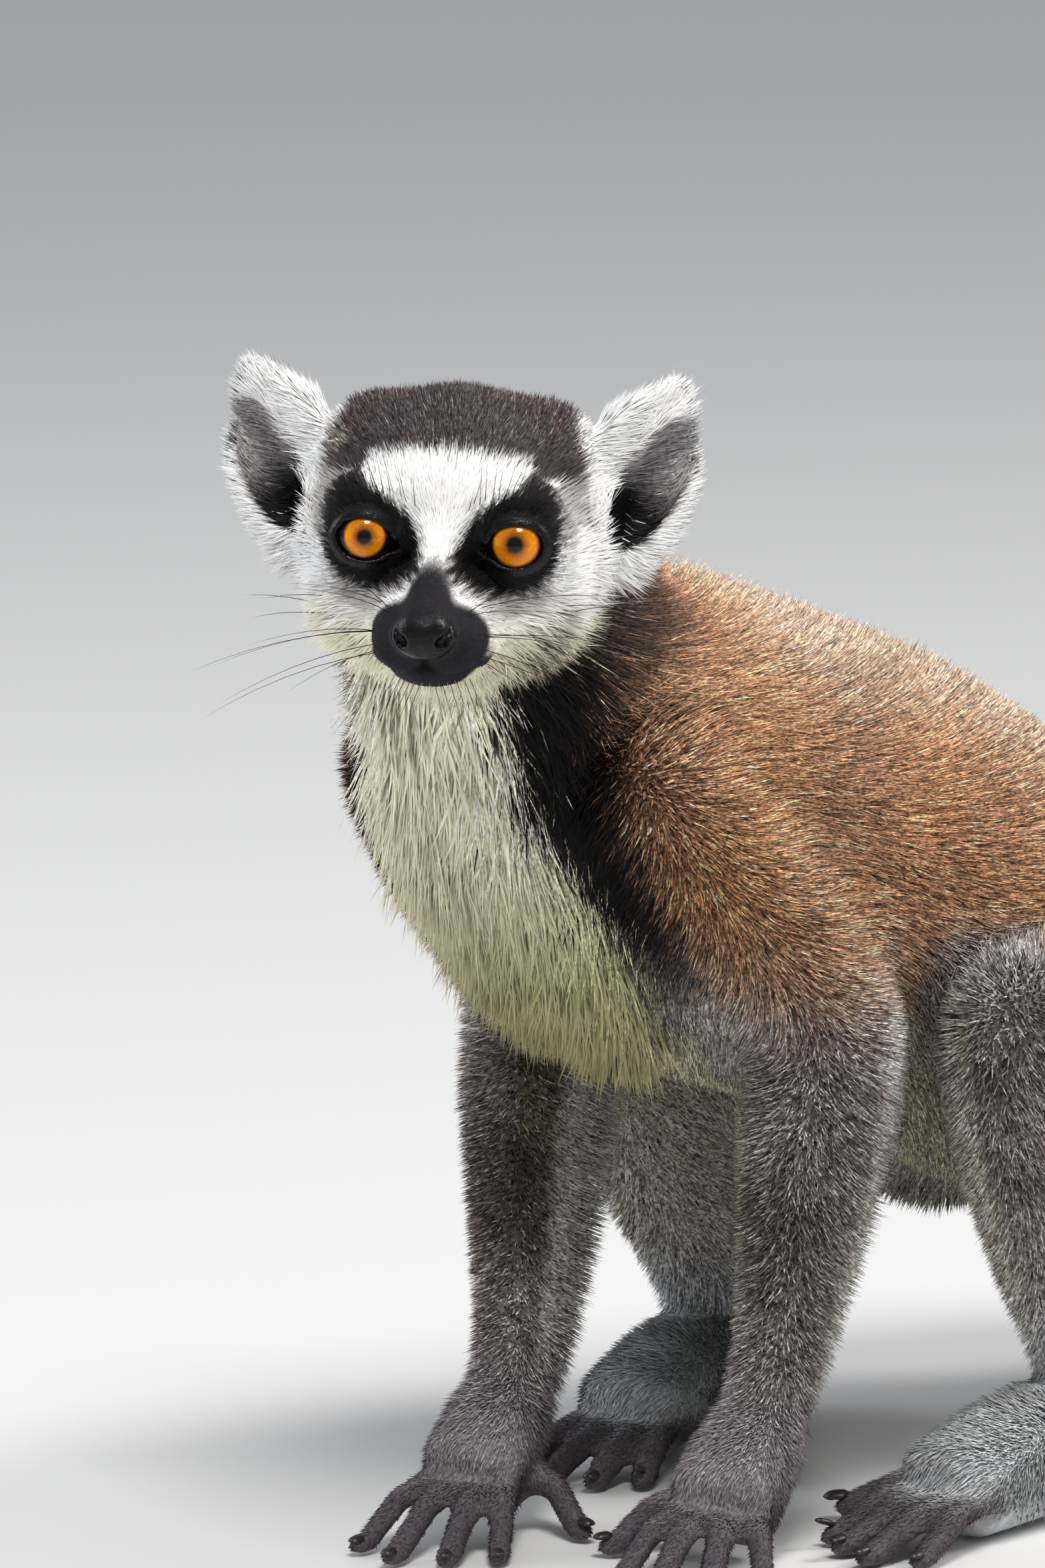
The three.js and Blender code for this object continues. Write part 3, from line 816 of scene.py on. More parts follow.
def head_colour(q):
    """Colour of the head's coat at folded points of the head frame."""
    u, f, v = q.T
    c = mix(WHITE, CHEEK_SHADE, step(-10, -26, v))
    crown = step(-1.6, 1.6, v - (19.4 - 0.010 * u * u))
    crown += step(16.5, 19, u - 0.25 * (v - 14)) * step(10.5, 13.5, v)
    c = mix(c, TEMPLE, 0.8 * step(22, 25, u) * step(-4, 6, v) * step(-40, -32, f))
    c = mix(c, CROWN, crown)
    c = mix(c, CROWN, step(-34, -42, f) * step(-22, -6, v))
    under = step(4.5, 0, ellipsoid(q, (14, -3, -10.4), (8, 12, 4)))
    c = mix(c, UNDER_EYE, 0.6 * under * on_patch(q))
    ragged = 0.8 * np.sin(1.9 * u + 1.3 * v + 0.6 * f) * np.sin(2.3 * v - 0.9 * u)
    patch = step(1.4, -1.1, edge_distance(u, v, PATCH_EDGE) + ragged)
    c = mix(c, PATCH_BLACK, patch * on_patch(q))
    c = mix(c, SNOUT_BLACK, step(1.0, -0.8, snout_distance(q)))
    e, ear, hollow, _ = ear_place(q)
    conch = mix(CONCH_GREY, CONCH_BLACK, step(9, -5, e[:, 2] + 0.5 * e[:, 0]))
    return mix(mix(c, WHITE, ear), conch, hollow * step(1.4, 0.2, conch_distance(e)))


def band_place(b):
    """Where points are to the shoulder band.

    The distance across it, below 0 towards the chest; its half width; the distance past its end.
    """
    s = b.copy()
    s[:, 0] = np.abs(s[:, 0] + 1)
    best = np.full(len(b), 1e9, F)
    across, half, end = np.zeros((3, len(b)), F)
    for k, (a, c) in enumerate(zip(BAND_LINE, BAND_LINE[1:])):
        p0, p1 = np.array(a[:3], F), np.array(c[:3], F)
        ab = p1 - p0
        raw = (s - p0) @ ab / (ab @ ab)
        t = np.clip(raw, 0, 1)
        o = s - p0 - t[:, None] * ab
        out = unit(BAND_OUT[k]) * (1 - t[:, None]) + unit(BAND_OUT[k + 1]) * t[:, None]
        past = np.maximum(raw - 1, 0) * norm(ab) * (k == len(BAND_LINE) - 2)
        pick = norm(o) < best
        best = np.where(pick, norm(o), best)
        across = np.where(pick, (o * out).sum(1), across)
        half = np.where(pick, a[3] + (c[3] - a[3]) * t, half)
        end = np.where(pick, past, end)
    # On its right side the chest's pale fur reaches further back.
    across -= 8 * step(0, -14, b[:, 0]) * step(200, 185, b[:, 2])
    return across, half, end


# Places on the limbs darkened with painted shade, partly dark hair: middle, reach and strength.
SHADE_SPOTS = [
    (40, 4, 74, 17, 0.9), (-30, -6, 76, 19, 1.0), (-30, 8, 100, 12, 0.7), (44, 30, 100, 12, 0.5),
    (66, 50, 104, 11, 0.8), (62, 60, 84, 13, 0.6), (-64, 52, 100, 12, 0.6), (40, 14, 50, 9, 0.5),
]  # fmt: skip


def shade_and_dark_hair(x, y, z):
    """Share of painted shade, partly dark hair, in uneven places on the limbs."""
    out = np.zeros(len(x), F)
    for px, py, pz, reach, strength in SHADE_SPOTS:
        away = np.sqrt((x - px) ** 2 + (y - py) ** 2 + (z - pz) ** 2)
        out = np.maximum(out, strength * step(reach * 1.25, reach * 0.35, away))
    ripple = np.sin(x * 0.37 + z * 0.21) * np.sin(y * 0.29 - z * 0.33 + 1.3)
    ripple *= np.sin(z * 0.17 + x * 0.1)
    return np.clip(out * (0.85 + 0.5 * ripple) + 0.55 * step(0.25, 0.7, ripple), 0, 1)


def total(shares, groups):
    return sum(shares[name] for name in groups)


def body_colour(b, n, shares, run):
    """Colour of the body's coat at points b of the CAD source's frame, where it faces n."""
    x, y, z = b.T
    wave = np.sin(x * 0.11 + z * 0.07) * np.cos(y * 0.09 - z * 0.05)
    c = mix(BROWN, RUST, 0.5 + 0.5 * wave)
    # The rump's paler grey is its own colour.
    c = mix(c, SADDLE_AND_TOP_LIGHT, step(95, 170, y))
    # Paler where the back faces up: painted top light.
    c = mix(c, SADDLE_AND_TOP_LIGHT, 0.85 * step(0.35, 0.9, n[:, 2]) * step(-10, 30, y))
    across, half, end = band_place(b)
    c = mix(c, COLLAR, 0.85 * step(4, -22, y) * step(-6, 10, across) * step(200, 212, z))
    low = step(22, 2, end) * step(30, 5, y)
    c = mix(c, COLLAR, 0.85 * step(half + 1, 0.3 * half, across) * low)
    band = step(-1.5, 1.5, across + half) * step(0.9 * half, 0.1 * half, across)
    c = mix(c, BAND, band * low * step(217, 202, z))
    # The chest's cream goes olive and then moss lower down, more so on its right: a little of it is
    # the coat's own yellowish cream, most of it is painted shade with a painted green reflection.
    chest = mix(CREAM, SHADED_OLIVE, step(185, 120, z))
    chest = mix(chest, MOSS_SHADE, step(135, 100, z + 0.6 * np.minimum(x, 0)))
    c = mix(c, chest, step(1.5, -1.5, across + half) * step(20, -5, y))
    # The underside is the belly's cream, greyed by painted shade.
    c = mix(c, SHADED_BELLY, step(0.3, 0.75, -n[:, 2]) * step(-12, 12, y))
    # The limbs are grey, with a pale rear and inner side.
    inner = -np.sign(x) * n[:, 0]
    rear = n[:, 1] + 0.5 * np.maximum(inner, 0)
    # Darker lower down the arm: partly the forearm's own grey, partly painted shade.
    grey = mix(ARM_GREY, FOREARM_GREY_SHADED, step(125, 90, z))
    # Moss on the inner side of the upper arm is painted shade between arm and chest.
    grey = mix(grey, MOSS_SHADE, 0.7 * step(0.4, 0.8, inner) * step(45, 75, z))
    # Painted shade, partly dark hair, in spots over the arms.
    grey = mix(grey, DUSKY_HAIR_AND_SHADE, 0.9 * shade_and_dark_hair(x, y, z))
    grey = mix(grey, FRINGE, step(0.12, 0.5, rear) * step(135, 108, z) * step(16, 36, z))
    grey = mix(grey, HAND_GREY, step(50, 28, z))
    grey = mix(grey, DIGIT_GREY, step(0.35, 0.85, shares["finger"]) * step(19, 11, z))
    c = mix(c, grey, step(0.2, 0.6, total(shares, ARM_GROUPS)) * step(146, 108, z))
    # Paler where the knee faces up: painted top light.
    grey = mix(THIGH_GREY, KNEE_TOP_LIGHT, 0.6 * step(0.3, 0.9, n[:, 2]) * step(98, 70, y))
    # Painted shade, partly dark hair, in spots over the legs.
    grey = mix(grey, DUSKY_HAIR_AND_SHADE, 0.9 * shade_and_dark_hair(x, y, z))
    pale = step(0.15, 0.55, inner - 0.4 * n[:, 1] - 0.5 * n[:, 2])
    grey = mix(grey, SHANK_CREAM, pale * step(28, 60, z))
    grey = mix(grey, FOOT_GREY, step(60, 28, z))
    grey = mix(grey, DIGIT_GREY, step(0.4, 0.9, shares["toe"]) * step(17, 10, z))
    hip = step(50, 105, y) * step(62, 108, z)
    c = mix(c, grey, step(0.1, 0.75, total(shares, LEG_GROUPS)) * (1 - 0.8 * hip))
    ring = TAIL_RINGS * (run - TAIL_START) / (TAIL_RUN[-1] - TAIL_START)
    phase = np.abs(((ring - 0.25) % 1) - 0.5) * 2
    white = step(0.42, 0.54, phase) * step(TAIL_RINGS - 0.75, TAIL_RINGS - 0.85, ring)
    on_tail = step(0.35, 0.8, shares["tail"]) * step(TAIL_START - 8, TAIL_START, run)
    return mix(c, mix(TAIL_BLACK, TAIL_WHITE, white), on_tail)


def coat_colour(p, n, shares, run):
    """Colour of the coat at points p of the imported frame, where it faces n."""
    q = folded(p)
    c = body_colour((p - SHIFT).astype(F), n, shares, run)
    return mix(c, head_colour(q), head_share(q))


# ---- how the coat grows, at each point of the skin ----
# group: tufts per square mm, root width in mm, lift in degrees, length over depth, tone's spread
GROWTH = {
    "trunk": (1.7, 0.82, 78, 1.0, 0.55),
    "upper_arm": (1.85, 0.75, 74, 1.1, 0.7),
    "forearm": (2.05, 0.7, 68, 1.2, 0.72),
    "hand": (2.6, 0.55, 30, 2.3, 0.32),
    "finger": (2.6, 0.45, 22, 3.2, 0.28),
    "thigh": (1.47, 0.82, 70, 1.15, 0.66),
    "shank": (1.7, 0.74, 60, 1.25, 0.54),
    "foot": (2.3, 0.65, 34, 3.0, 0.26),
    "toe": (2.6, 0.45, 22, 3.2, 0.28),
    "tail": (0.81, 1.22, 40, 1.5, 0.16),
}
KEYS = ("density", "width", "lift", "length", "spread")


def zone(table, where, **values):
    """Moves the table's entries towards the given values by the share where."""
    for key, value in values.items():
        table[key] += (value - table[key]) * where


def growth_at(p, n, shares, depth, q, share):
    """How the coat grows at points p: KEYS, and the shares of the ruff and of wet skin."""
    g = {}
    for k, key in enumerate(KEYS):
        g[key] = sum(shares[name] * GROWTH[name][k] for name in GROUPS)
    g["length"] = g["length"] * depth
    g["lift"] = g["lift"] - 26 * step(6.5, 11, depth)
    # The long locks of the chest.
    b = (p - SHIFT).astype(F)
    across, half, _ = band_place(b)
    hem = b[:, 2] + 0.8 * np.minimum(b[:, 0], 0) + 0.6 * np.clip(b[:, 0], 0, 24)
    ruff = step(4, -8, across + half) * step(12, -14, b[:, 1]) * step(88, 112, hem)
    ruff *= np.clip(shares["trunk"] * 1.5, 0, 1)
    g["ruff"] = ruff = ruff * (1 - share)
    low = step(190, 150, b[:, 2])
    far = step(-2, -16, b[:, 0]) * step(200, 185, b[:, 2])
    length = 22 + 4 * low + 4 * far - 13 * step(150, 108, hem)
    lift = 17 + 5 * low + 14 * far
    zone(g, ruff, length=length, lift=lift, width=1.15, density=2.75, spread=0.07)
    # The underside is shorter, and the rear of the forearms longer.
    under = step(0.3, 0.7, -n[:, 2]) * shares["trunk"] * (1 - ruff)
    g["length"] *= 1 - 0.4 * under
    g["lift"] -= 22 * under
    inner = -np.sign(b[:, 0]) * n[:, 0]
    fringe = shares["forearm"] * step(0.4, 0.8, n[:, 1] + 0.3 * inner)
    g["length"] *= 1 + 0.9 * fringe
    g["lift"] += 8 * fringe
    # The head, from the cheeks and crown to the shortest hair round the eyes and nose.
    u, f, v = q.T
    e, ear, hollow, rim = ear_place(q)
    beard = step(-4, -24, v)
    head = {"density": F(2.3), "width": F(0.72), "spread": F(0.07), "lift": 18 + 8 * beard}
    head["length"] = 5.5 + 6 * beard + 3.5 * step(-14, -30, f) * step(10, -4, v) * (1 - 0.6 * beard)
    zone(head, step(12, 17, v), density=4.4, width=0.5, length=3.8, lift=68, spread=0.7)
    forehead = step(20, 16, v) * step(2, 6, v) * step(-22, -16, f)
    zone(head, forehead, density=4.0, width=0.55, length=4.0, lift=20, spread=0.05)
    near = step(20, 8, norm(q - np.array([4, 14, -10], F)) - 8)
    zone(head, near, density=3.8, width=0.5, length=3.0, lift=22)
    patch = step(2.5, -1.5, edge_distance(u, v, PATCH_EDGE)) * on_patch(q)
    zone(head, patch, density=4.4, width=0.4, length=2.1, lift=22, spread=0.4)
    snout = step(1.2, -0.6, snout_distance(q))
    zone(head, snout, density=4.2, width=0.34, length=0.8, lift=16, spread=0.3)
    zone(head, ear, density=3.6, width=0.6, length=4.6, lift=20, spread=0.04)
    zone(head, rim, density=5.4, width=0.5, length=4.4, lift=22)
    zone(head, rim * step(6, 14, e[:, 2]), length=5.6)
    medial = ear * step(1, -5, e[:, 0]) * step(-12, -2, e[:, 2])
    zone(head, medial, density=4.8, width=0.5, length=5.6, lift=20)
    conch = hollow * step(1.0, -0.6, conch_distance(e))
    zone(head, conch, density=2.2, width=0.4, length=4.2, lift=20, spread=0.35)
    # The nose pad, lids and soles are bare.
    lids = step(10.6, 10.2, norm(q - EYE_SPOT))
    lids *= step(8.2, 7.2, np.hypot(u - 16.5, (v + 0.2) * 1.2))
    bare = np.maximum(step(0.6, -0.4, ellipsoid(q, *grown(NOSE_PAD, 0.2))), lids)
    zone(head, bare, density=0.0)
    for key in KEYS:
        zone(g, share, **{key: head[key]})
    sole = step(-0.25, -0.6, n[:, 2]) * step(16, 9, b[:, 2])
    g["density"] *= 1 - sole * np.clip(total(shares, PAW_GROUPS), 0, 1)
    g["wet"] = bare * share
    return g


def in_plane(v, n):
    """The part of v that runs along the skin."""
    return v - n * (v * n).sum(1)[:, None]


def lie_at(p, n, lie, shares, q, share, growth):
    """The direction the coat lies in, along the skin."""
    down = np.array([0, 0, -1], F)
    flow = lie + down * 0.35 * shares["trunk"][:, None]
    flow = mix(flow, down, 0.8 * growth["ruff"])
    away = q - NOSE_SPOT
    away = away / np.maximum(norm(away)[:, None], 1)
    away[:, 2] += -0.25 * step(0, -14, q[:, 2])
    e, ear, _, _ = ear_place(q)
    _, (wide, _, tall) = EAR_OVAL
    radial = np.stack([e[:, 0] / wide**2, 0 * e[:, 0], e[:, 2] / tall**2], 1)
    local = unit(radial) * 0.8 + np.array([0.1, 0.25, 0.5])
    medial = step(1, -5, e[:, 0]) * step(-12, -2, e[:, 2])
    local = mix(local, np.array([0.85, 0.2, 0.45]), medial)
    away = mix(away, (local @ EAR_FRAME).astype(F), ear)
    away[:, :1] *= np.sign(to_head(p)[:, :1])
    flow = mix(flow, (away @ AXES).astype(F), share)
    return unit(in_plane(flow, n)).astype(F)


# ---- the coat ----
TURN, HALF_TURN = 6.4, 3.3  # a little more than whole, so that the map has a margin
MAP_START, MAP_SPAN = 0.12, 0.76  # where on the map a line begins, and its length there
MAP_LINES = {
    "trunk": [s[:3] for s in SPINE],
    "tail": [s[:3] for s in TAIL],
    "arm_left": ARM["left"][:4],
    "arm_right": ARM["right"][:4],
    "leg_left": [LEG["left"][i] for i in (0, 1, 2, 4)],
    "leg_right": [LEG["right"][i] for i in (0, 1, 2, 4)],
}
PATCH = 0.003  # side of a tuft's place on the map


def unwrap(p, piece):
    """Places on a flat map, from the skin's own shape: round the head, the spine or a limb."""
    if piece in ("head", "ears"):
        q = to_head(p) - np.array([0, -18, 0])
        u = np.arctan2(q[:, 0], q[:, 1]) / TURN
        return np.stack([0.5 + u, 0.5 + np.arcsin(unit(q)[:, 2]) / HALF_TURN], 1)
    line = np.array(MAP_LINES[piece], float) + SHIFT
    run = run_along(line)
    best = np.full(len(p), 1e9)
    uv = np.zeros((len(p), 2))
    for k, (a, b) in enumerate(zip(line, line[1:])):
        ab = b - a
        t = np.clip((p - a) @ ab / (ab @ ab), 0 if k else -0.6, 1 if k < len(line) - 2 else 1.6)
        o = p - a - t[:, None] * ab
        side = unit(np.cross(ab, [0.3, 0.2, 1.0]))
        angle = np.arctan2(o @ side, o @ unit(np.cross(side, ab)))
        place = MAP_START + MAP_SPAN * (run[k] + t * norm(ab)) / run[-1]
        pick = norm(o) < best
        best = np.where(pick, norm(o), best)
        uv[pick] = np.stack([0.5 + angle / TURN, place], 1)[pick]
    return uv


def scatter(verts, faces, normals, per_vertex, rng):
    """Places the coat's roots over the skin, each with the skin's values at its place."""
    a, b, c = (verts[faces[:, i]] for i in range(3))
    area = norm(np.cross(b - a, c - a)) / 2
    wanted = area * per_vertex["density"][faces].mean(1)
    count = np.floor(wanted + rng.random(len(faces))).astype(int)
    face = np.repeat(np.arange(len(faces)), count)
    r = np.sqrt(rng.random(len(face)))
    s = rng.random(len(face))
    w = np.stack([1 - r, r * (1 - s), r * s], 1).astype(F)

    def at_roots(values):
        at_corners = values[faces[face]]
        return (at_corners * (w[..., None] if values.ndim > 1 else w)).sum(1)

    coat = {key: at_roots(values) for key, values in per_vertex.items()}
    coat["root"] = at_roots(verts)
    coat["normal"] = unit(at_roots(normals)).astype(F)
    return coat


# A tuft's faces, and its points' places on its patch of the map: a blade, and a bent lock.
BLADE = [[0, 2, 3], [2, 1, 3], [0, 3, 1], [0, 1, 2]]
BLADE_MAP = [[-1, -1], [1, -1], [0, -1], [0, 1]]
LOCK = [
    [0, 2, 5], [0, 5, 3], [2, 1, 4], [2, 4, 5], [1, 0, 3], [1, 3, 4],
    [3, 5, 6], [5, 4, 6], [4, 3, 6], [0, 1, 2],
]  # fmt: skip
LOCK_MAP = [[-1, -1], [1, -1], [0, -1], [-1, 0.1], [1, 0.1], [0, 0.1], [0, 1]]
LOWEST = 0.15  # no tuft's point is nearer to the floor
ROOT_DEPTH = F(0.25)  # how far its root is sunk in the skin
COLOUR_AT = 0.62  # how far along a tuft its colour is taken


def tuft_mesh(name, root, normal, lie, size, colours, uv, bend, rng):
    """One mesh of closed tufts: ridged blades, or locks bent towards bend if it is given.

    size is their lengths, widths and lifts; colours their tones, speckles, and root and tip.
    """
    n = len(root)
    length, width, lift = size
    tone, speck, low, high = colours
    loose = np.clip(length / 40, 0.12, 0.3) + 0.55 * step(48, 62, lift)
    swing = (rng.normal(0, 1, n) * loose)[:, None].astype(F)
    lie = unit(lie + np.cross(lie, normal) * swing).astype(F)
    angle = np.radians(lift + rng.normal(0, 5, n)).astype(F)[:, None]
    out = lie * np.cos(angle) + normal * np.sin(angle)
    side = unit(np.cross(out, normal)).astype(F)
    up = np.cross(side, out)
    half, length = (width / 2)[:, None], length[:, None]
    foot = root - normal * ROOT_DEPTH
    points = [foot - side * half, foot + side * half, foot + up * half * 0.8]
    soft = normal + rng.normal(0, 0.13, (n, 3)).astype(F)
    normals = [soft - side * 0.45, soft + side * 0.45, soft]
    shades = [low] * 3
    if bend is None:
        faces, patch = BLADE, BLADE_MAP
        points.append(root + out * length)
        normals.append(soft + out * 0.3)
    else:
        faces, patch = LOCK, LOCK_MAP
        mid = root + out * length * 0.55
        points += [mid - side * half * 0.8, mid + side * half * 0.8, mid + up * half * 0.7]
        points.append(mid + unit(out + bend) * length * 0.5)
        normals += normals + [soft]
        shades += [low * 0.35 + high * 0.65] * 3
    points = np.stack(points, 1)
    k = points.shape[1]
    points = points.reshape(-1, 3)
    points[:, 2] = np.maximum(points[:, 2], LOWEST)
    faces = copies(faces, k, n)
    obj = new_mesh(name, points, faces)
    rgba = np.ones((n, k, 4), F)
    strength = np.sqrt(tone)[:, None] ** np.linspace(1, 2, k)[None]
    rgba[..., :3] = np.clip(np.stack(shades + [high], 1) * strength[..., None], 0, 1)
    rgba[..., 3] = speck[:, None]
    put(obj, "tint", "FLOAT_COLOR", rgba)
    patch = np.array(patch) * PATCH / 2
    lay_out(obj, np.clip(uv, 0.01, 0.99)[:, None] + patch[None], faces)
    normals = np.stack(normals, 1).reshape(-1, 3)
    obj.data.normals_split_custom_set_from_vertices(unit(normals))
    return obj


def vertex_normals(obj):
    out = np.empty(len(obj.data.vertices) * 3, F)
    obj.data.vertices.foreach_get("normal", out)
    return out.reshape(-1, 3)


LARGE_PRIMES = np.array([73856093, 19349663, 83492791])  # they make one key of three numbers


def clumped(root, tip_shift, cell, pull, rng):
    """Draws each tuft's tip towards that of a neighbour picked to lead its lock."""
    jitter = root + rng.normal(0, 0.18 * cell, root.shape)
    key = np.floor(jitter / cell).astype(np.int64) * LARGE_PRIMES
    key = key[:, 0] ^ key[:, 1] ^ key[:, 2]
    _, first, which = np.unique(key, return_index=True, return_inverse=True)
    lead_root, lead_shift = root[first][which], tip_shift[first][which]
    target = lead_root + lead_shift - root
    return tip_shift + (target - tip_shift) * pull[:, None]


# ---- the skin's looks, and the coat's roots ----
COAT_SEED = 20
normals = vertex_normals(skin)
shares, depth, run, lie = lie_of(verts)
q = folded(verts)
share = head_share(q)
growth = growth_at(verts, normals, shares, depth, q, share)
flow = lie_at(verts, normals, lie, shares, q, share, growth)

outer = verts + normals * (depth * 0.7 * (1 - share))[:, None]
skin_colour = coat_colour(outer, normals, shares, run)
skin_colour = mix(skin_colour, NOSE_BLACK, step(0.8, -0.4, ellipsoid(q, *NOSE_PAD)))
rims = step(10.8, 10.2, norm(q - EYE_SPOT)) * step(9, 8, np.hypot(q[:, 0] - 16.5, q[:, 2]))
skin_colour = mix(skin_colour, LID_BLACK, rims * step(-6, -5, q[:, 1]))
put(skin, "tint", "FLOAT_COLOR", np.hstack([skin_colour, 0.3 * growth["spread"][:, None]]))
put(skin, "wet", "FLOAT", growth["wet"])

per_vertex = {key: growth[key].astype(F) for key in (*KEYS, "ruff")}
per_vertex.update({"share_" + g: shares[g] for g in GROUPS})
per_vertex.update({"run": run, "flow": flow, "head": share.astype(F)})
coat = scatter(verts, faces, normals, per_vertex, np.random.default_rng(COAT_SEED))


REAR = 95  # where the coat's rear pieces begin
RUFF_FROM = 0.35  # the share of ruff from which a tuft is in its piece


def group_share(coat, groups):
    return sum(coat["share_" + g] for g in groups)


def piece_of(coat):
    """The coat piece that each root belongs to."""
    left = coat["root"][:, 0] - SHIFT[0] > 0
    arm, leg = group_share(coat, ARM_GROUPS), group_share(coat, LEG_GROUPS)
    best = np.argmax(np.stack([coat["share_trunk"], arm, leg, coat["share_tail"]], 1), 1)
    names = np.array(["trunk", "arm", "leg", "tail"], dtype=object)[best]
    names = np.where(best == 1, np.where(left, "arm_left", "arm_right"), names)
    names = np.where(best == 2, np.where(left, "leg_left", "leg_right"), names)
    rear = coat["root"][:, 1] - SHIFT[1] > REAR
    side = np.where(left, "side_left", "side_right")
    side = np.where(rear, np.where(left, "rump_left", "rump_right"), side)
    side = np.where(coat["ruff"] > RUFF_FROM, "ruff", side)
    names = np.where(best == 0, side, names)
    ears = ellipsoid(to_ear(folded(coat["root"])), *grown(EAR_OVAL, 2.5)) < 0
    return np.where(coat["head"] > 0.5, np.where(ears, "ears", "head"), names)


class Shader:
    """A material, with short calls for its nodes."""

    def __init__(self, name, values):
        self.made = bpy.data.materials.new(name)
        self.made.use_nodes = True
        self.tree = self.made.node_tree
        self.surface = self.tree.nodes["Principled BSDF"]
        self.fill(self.surface, values)

    def fill(self, node, values):
        """Gives sockets of a node a number each, or the output of another node."""
        for socket, value in values.items():
            if isinstance(value, bpy.types.NodeSocket):
                self.tree.links.new(value, node.inputs[socket])
            else:
                node.inputs[socket].default_value = value
        return node.outputs

    def node(self, kind):
        return self.tree.nodes.new("ShaderNode" + kind)

    def read(self, name):
        """The outputs of an attribute of the mesh."""
        node = self.node("Attribute")
        node.attribute_name = name
        return node.outputs

    def math(self, operation, *values):
        node = self.node("Math")
        node.operation = operation
        return self.fill(node, dict(enumerate(values)))[0]

    def ranged(self, value, lo, hi, to_lo, to_hi):
        """A value moved from the range lo to hi into that from to_lo to to_hi."""
        ends = {"From Min": lo, "From Max": hi, "To Min": to_lo, "To Max": to_hi}
        return self.fill(self.node("MapRange"), {"Value": value, **ends})["Result"]

    def noise(self, place, scale, detail):
        values = {"Vector": place, "Scale": scale, "Detail": detail}
        return self.fill(self.node("TexNoise"), values)["Fac"]

    def place(self):
        return self.node("TexCoord").outputs["Object"]

    def paint(self, colour, strength):
        node = self.node("VectorMath")
        node.operation = "SCALE"
        out = self.fill(node, {0: colour, "Scale": strength})
        self.fill(self.surface, {"Base Color": out["Vector"]})


SPECK = 1100  # grains of the coat's speckle, per metre


def coat_material(name, low, high, scale):
    """The attribute tint, with a slow noise and, as strong as its alpha, a fine speckle."""
    m = Shader(name, {"Roughness": 0.72, "Specular IOR Level": 0.22})
    tint, place = m.read("tint"), m.place()
    slow = m.ranged(m.noise(place, scale, 2), 0.3, 0.7, low, high)
    swing = m.ranged(m.noise(place, SPECK, 1), 0.32, 0.68, -1, 1)
    fine = m.math("MULTIPLY_ADD", swing, tint["Alpha"], 1)
    m.paint(tint["Color"], m.math("MULTIPLY", slow, fine))
    return m


def skin_material():
    """The coat's colours, wet on the nose and lids, with a fine grain."""
    m = coat_material("skin", 0.8, 1.1, 420)
    grain = {"Strength": 0.35, "Distance": 0.0004, "Height": m.noise(m.place(), 1600, 2)}
    bump = m.fill(m.node("Bump"), grain)["Normal"]
    rough = m.ranged(m.read("wet")["Fac"], 0, 1, 0.75, 0.3)
    m.fill(m.surface, {"Roughness": rough, "Normal": bump})
    return m.made


COAT_FUR = coat_material("coat", 0.88, 1.12, 260).made
OWN_MAPS = ("head", "ears", "arm_left", "arm_right", "leg_left", "leg_right", "tail")


def grow(coat):
    """Makes the coat's pieces from its roots."""
    names = piece_of(coat)
    for name in sorted(set(names)):
        pick = np.nonzero(names == name)[0]
        n = len(pick)
        rng = np.random.default_rng(len(name) * 7 + ord(name[0]) + ord(name[-1]))
        s = {key: values[pick] for key, values in coat.items()}
        root, normal, spread = s["root"], s["normal"], s["spread"]
        lie = unit(in_plane(s["flow"], normal)).astype(F)
        length = s["length"] * np.clip(rng.normal(1, 0.14, n), 0.5, 1.45)
        angle = np.radians(s["lift"])[:, None]
        reach = lie * np.cos(angle) + normal * np.sin(angle)
        cell, clump = (10.0, 0.7) if name == "ruff" else (3.5, 0.4)
        pull = np.clip(s["length"] / 20, 0.05, 0.55) * clump
        shift = clumped(root, reach * length[:, None], cell, pull.astype(F), rng)
        flat = in_plane(shift, normal)
        lift = np.degrees(np.arctan2((shift * normal).sum(1), norm(flat)))
        # Each tuft has the colour of a place near its middle, a little off it at random.
        paw = group_share(s, PAW_GROUPS)
        stray = 0.1 * s["length"] + (1 - s["head"]) * (2.2 - 1.6 * s["share_tail"] - 1.4 * paw)
        mark = root + shift * COLOUR_AT
        mark += rng.normal(0, 1, (n, 3)) * stray[:, None]
        shares = {g: s["share_" + g] for g in GROUPS}
        colour = coat_colour(mark.astype(F), normal, shares, s["run"])
        tone = np.exp(rng.normal(0, 1, n) * spread).astype(F)
        light = np.clip(1.12 + 0.5 * spread, 1, 1.4)[:, None]
        dark = np.clip(0.84 - 0.95 * spread + 0.3 * colour.mean(1), 0.35, 1)[:, None]
        speck = np.clip(1.9 * spread - 0.15, 0, 0.75)
        bend = None
        if name == "ruff":
            bend = (np.array([0, 0, -0.55], F) + rng.normal(0, 0.16, (n, 3))).astype(F)
        size = norm(shift).astype(F), s["width"], lift
        colours = tone, speck, (colour * dark).astype(F), (colour * light).astype(F)
        uv = unwrap(root, name if name in OWN_MAPS else "trunk")
        lie = unit(flat).astype(F)
        obj = tuft_mesh("coat_" + name, root, normal, lie, size, colours, uv, bend, rng)
        obj.data.materials.append(COAT_FUR)
        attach(obj, "root")
        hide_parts(*FLESH)


grow(coat)
skin.data.materials.append(skin_material())


# ---- the eyes ----
GAZE = {"right": (0.055, 1, 0.05), "left": (-0.015, 1, 0.05)}
CORNEA, CORNEA_RADIUS = 0.75, 4.6  # how far it stands out of the eyeball, and its radius
IRIS, PUPIL = 4.8, 1.35  # radii
IRIS_SCALE = {"right": 0.97, "left": 1.08}
EYE_RINGS, EYE_SPOKES = 55, 64
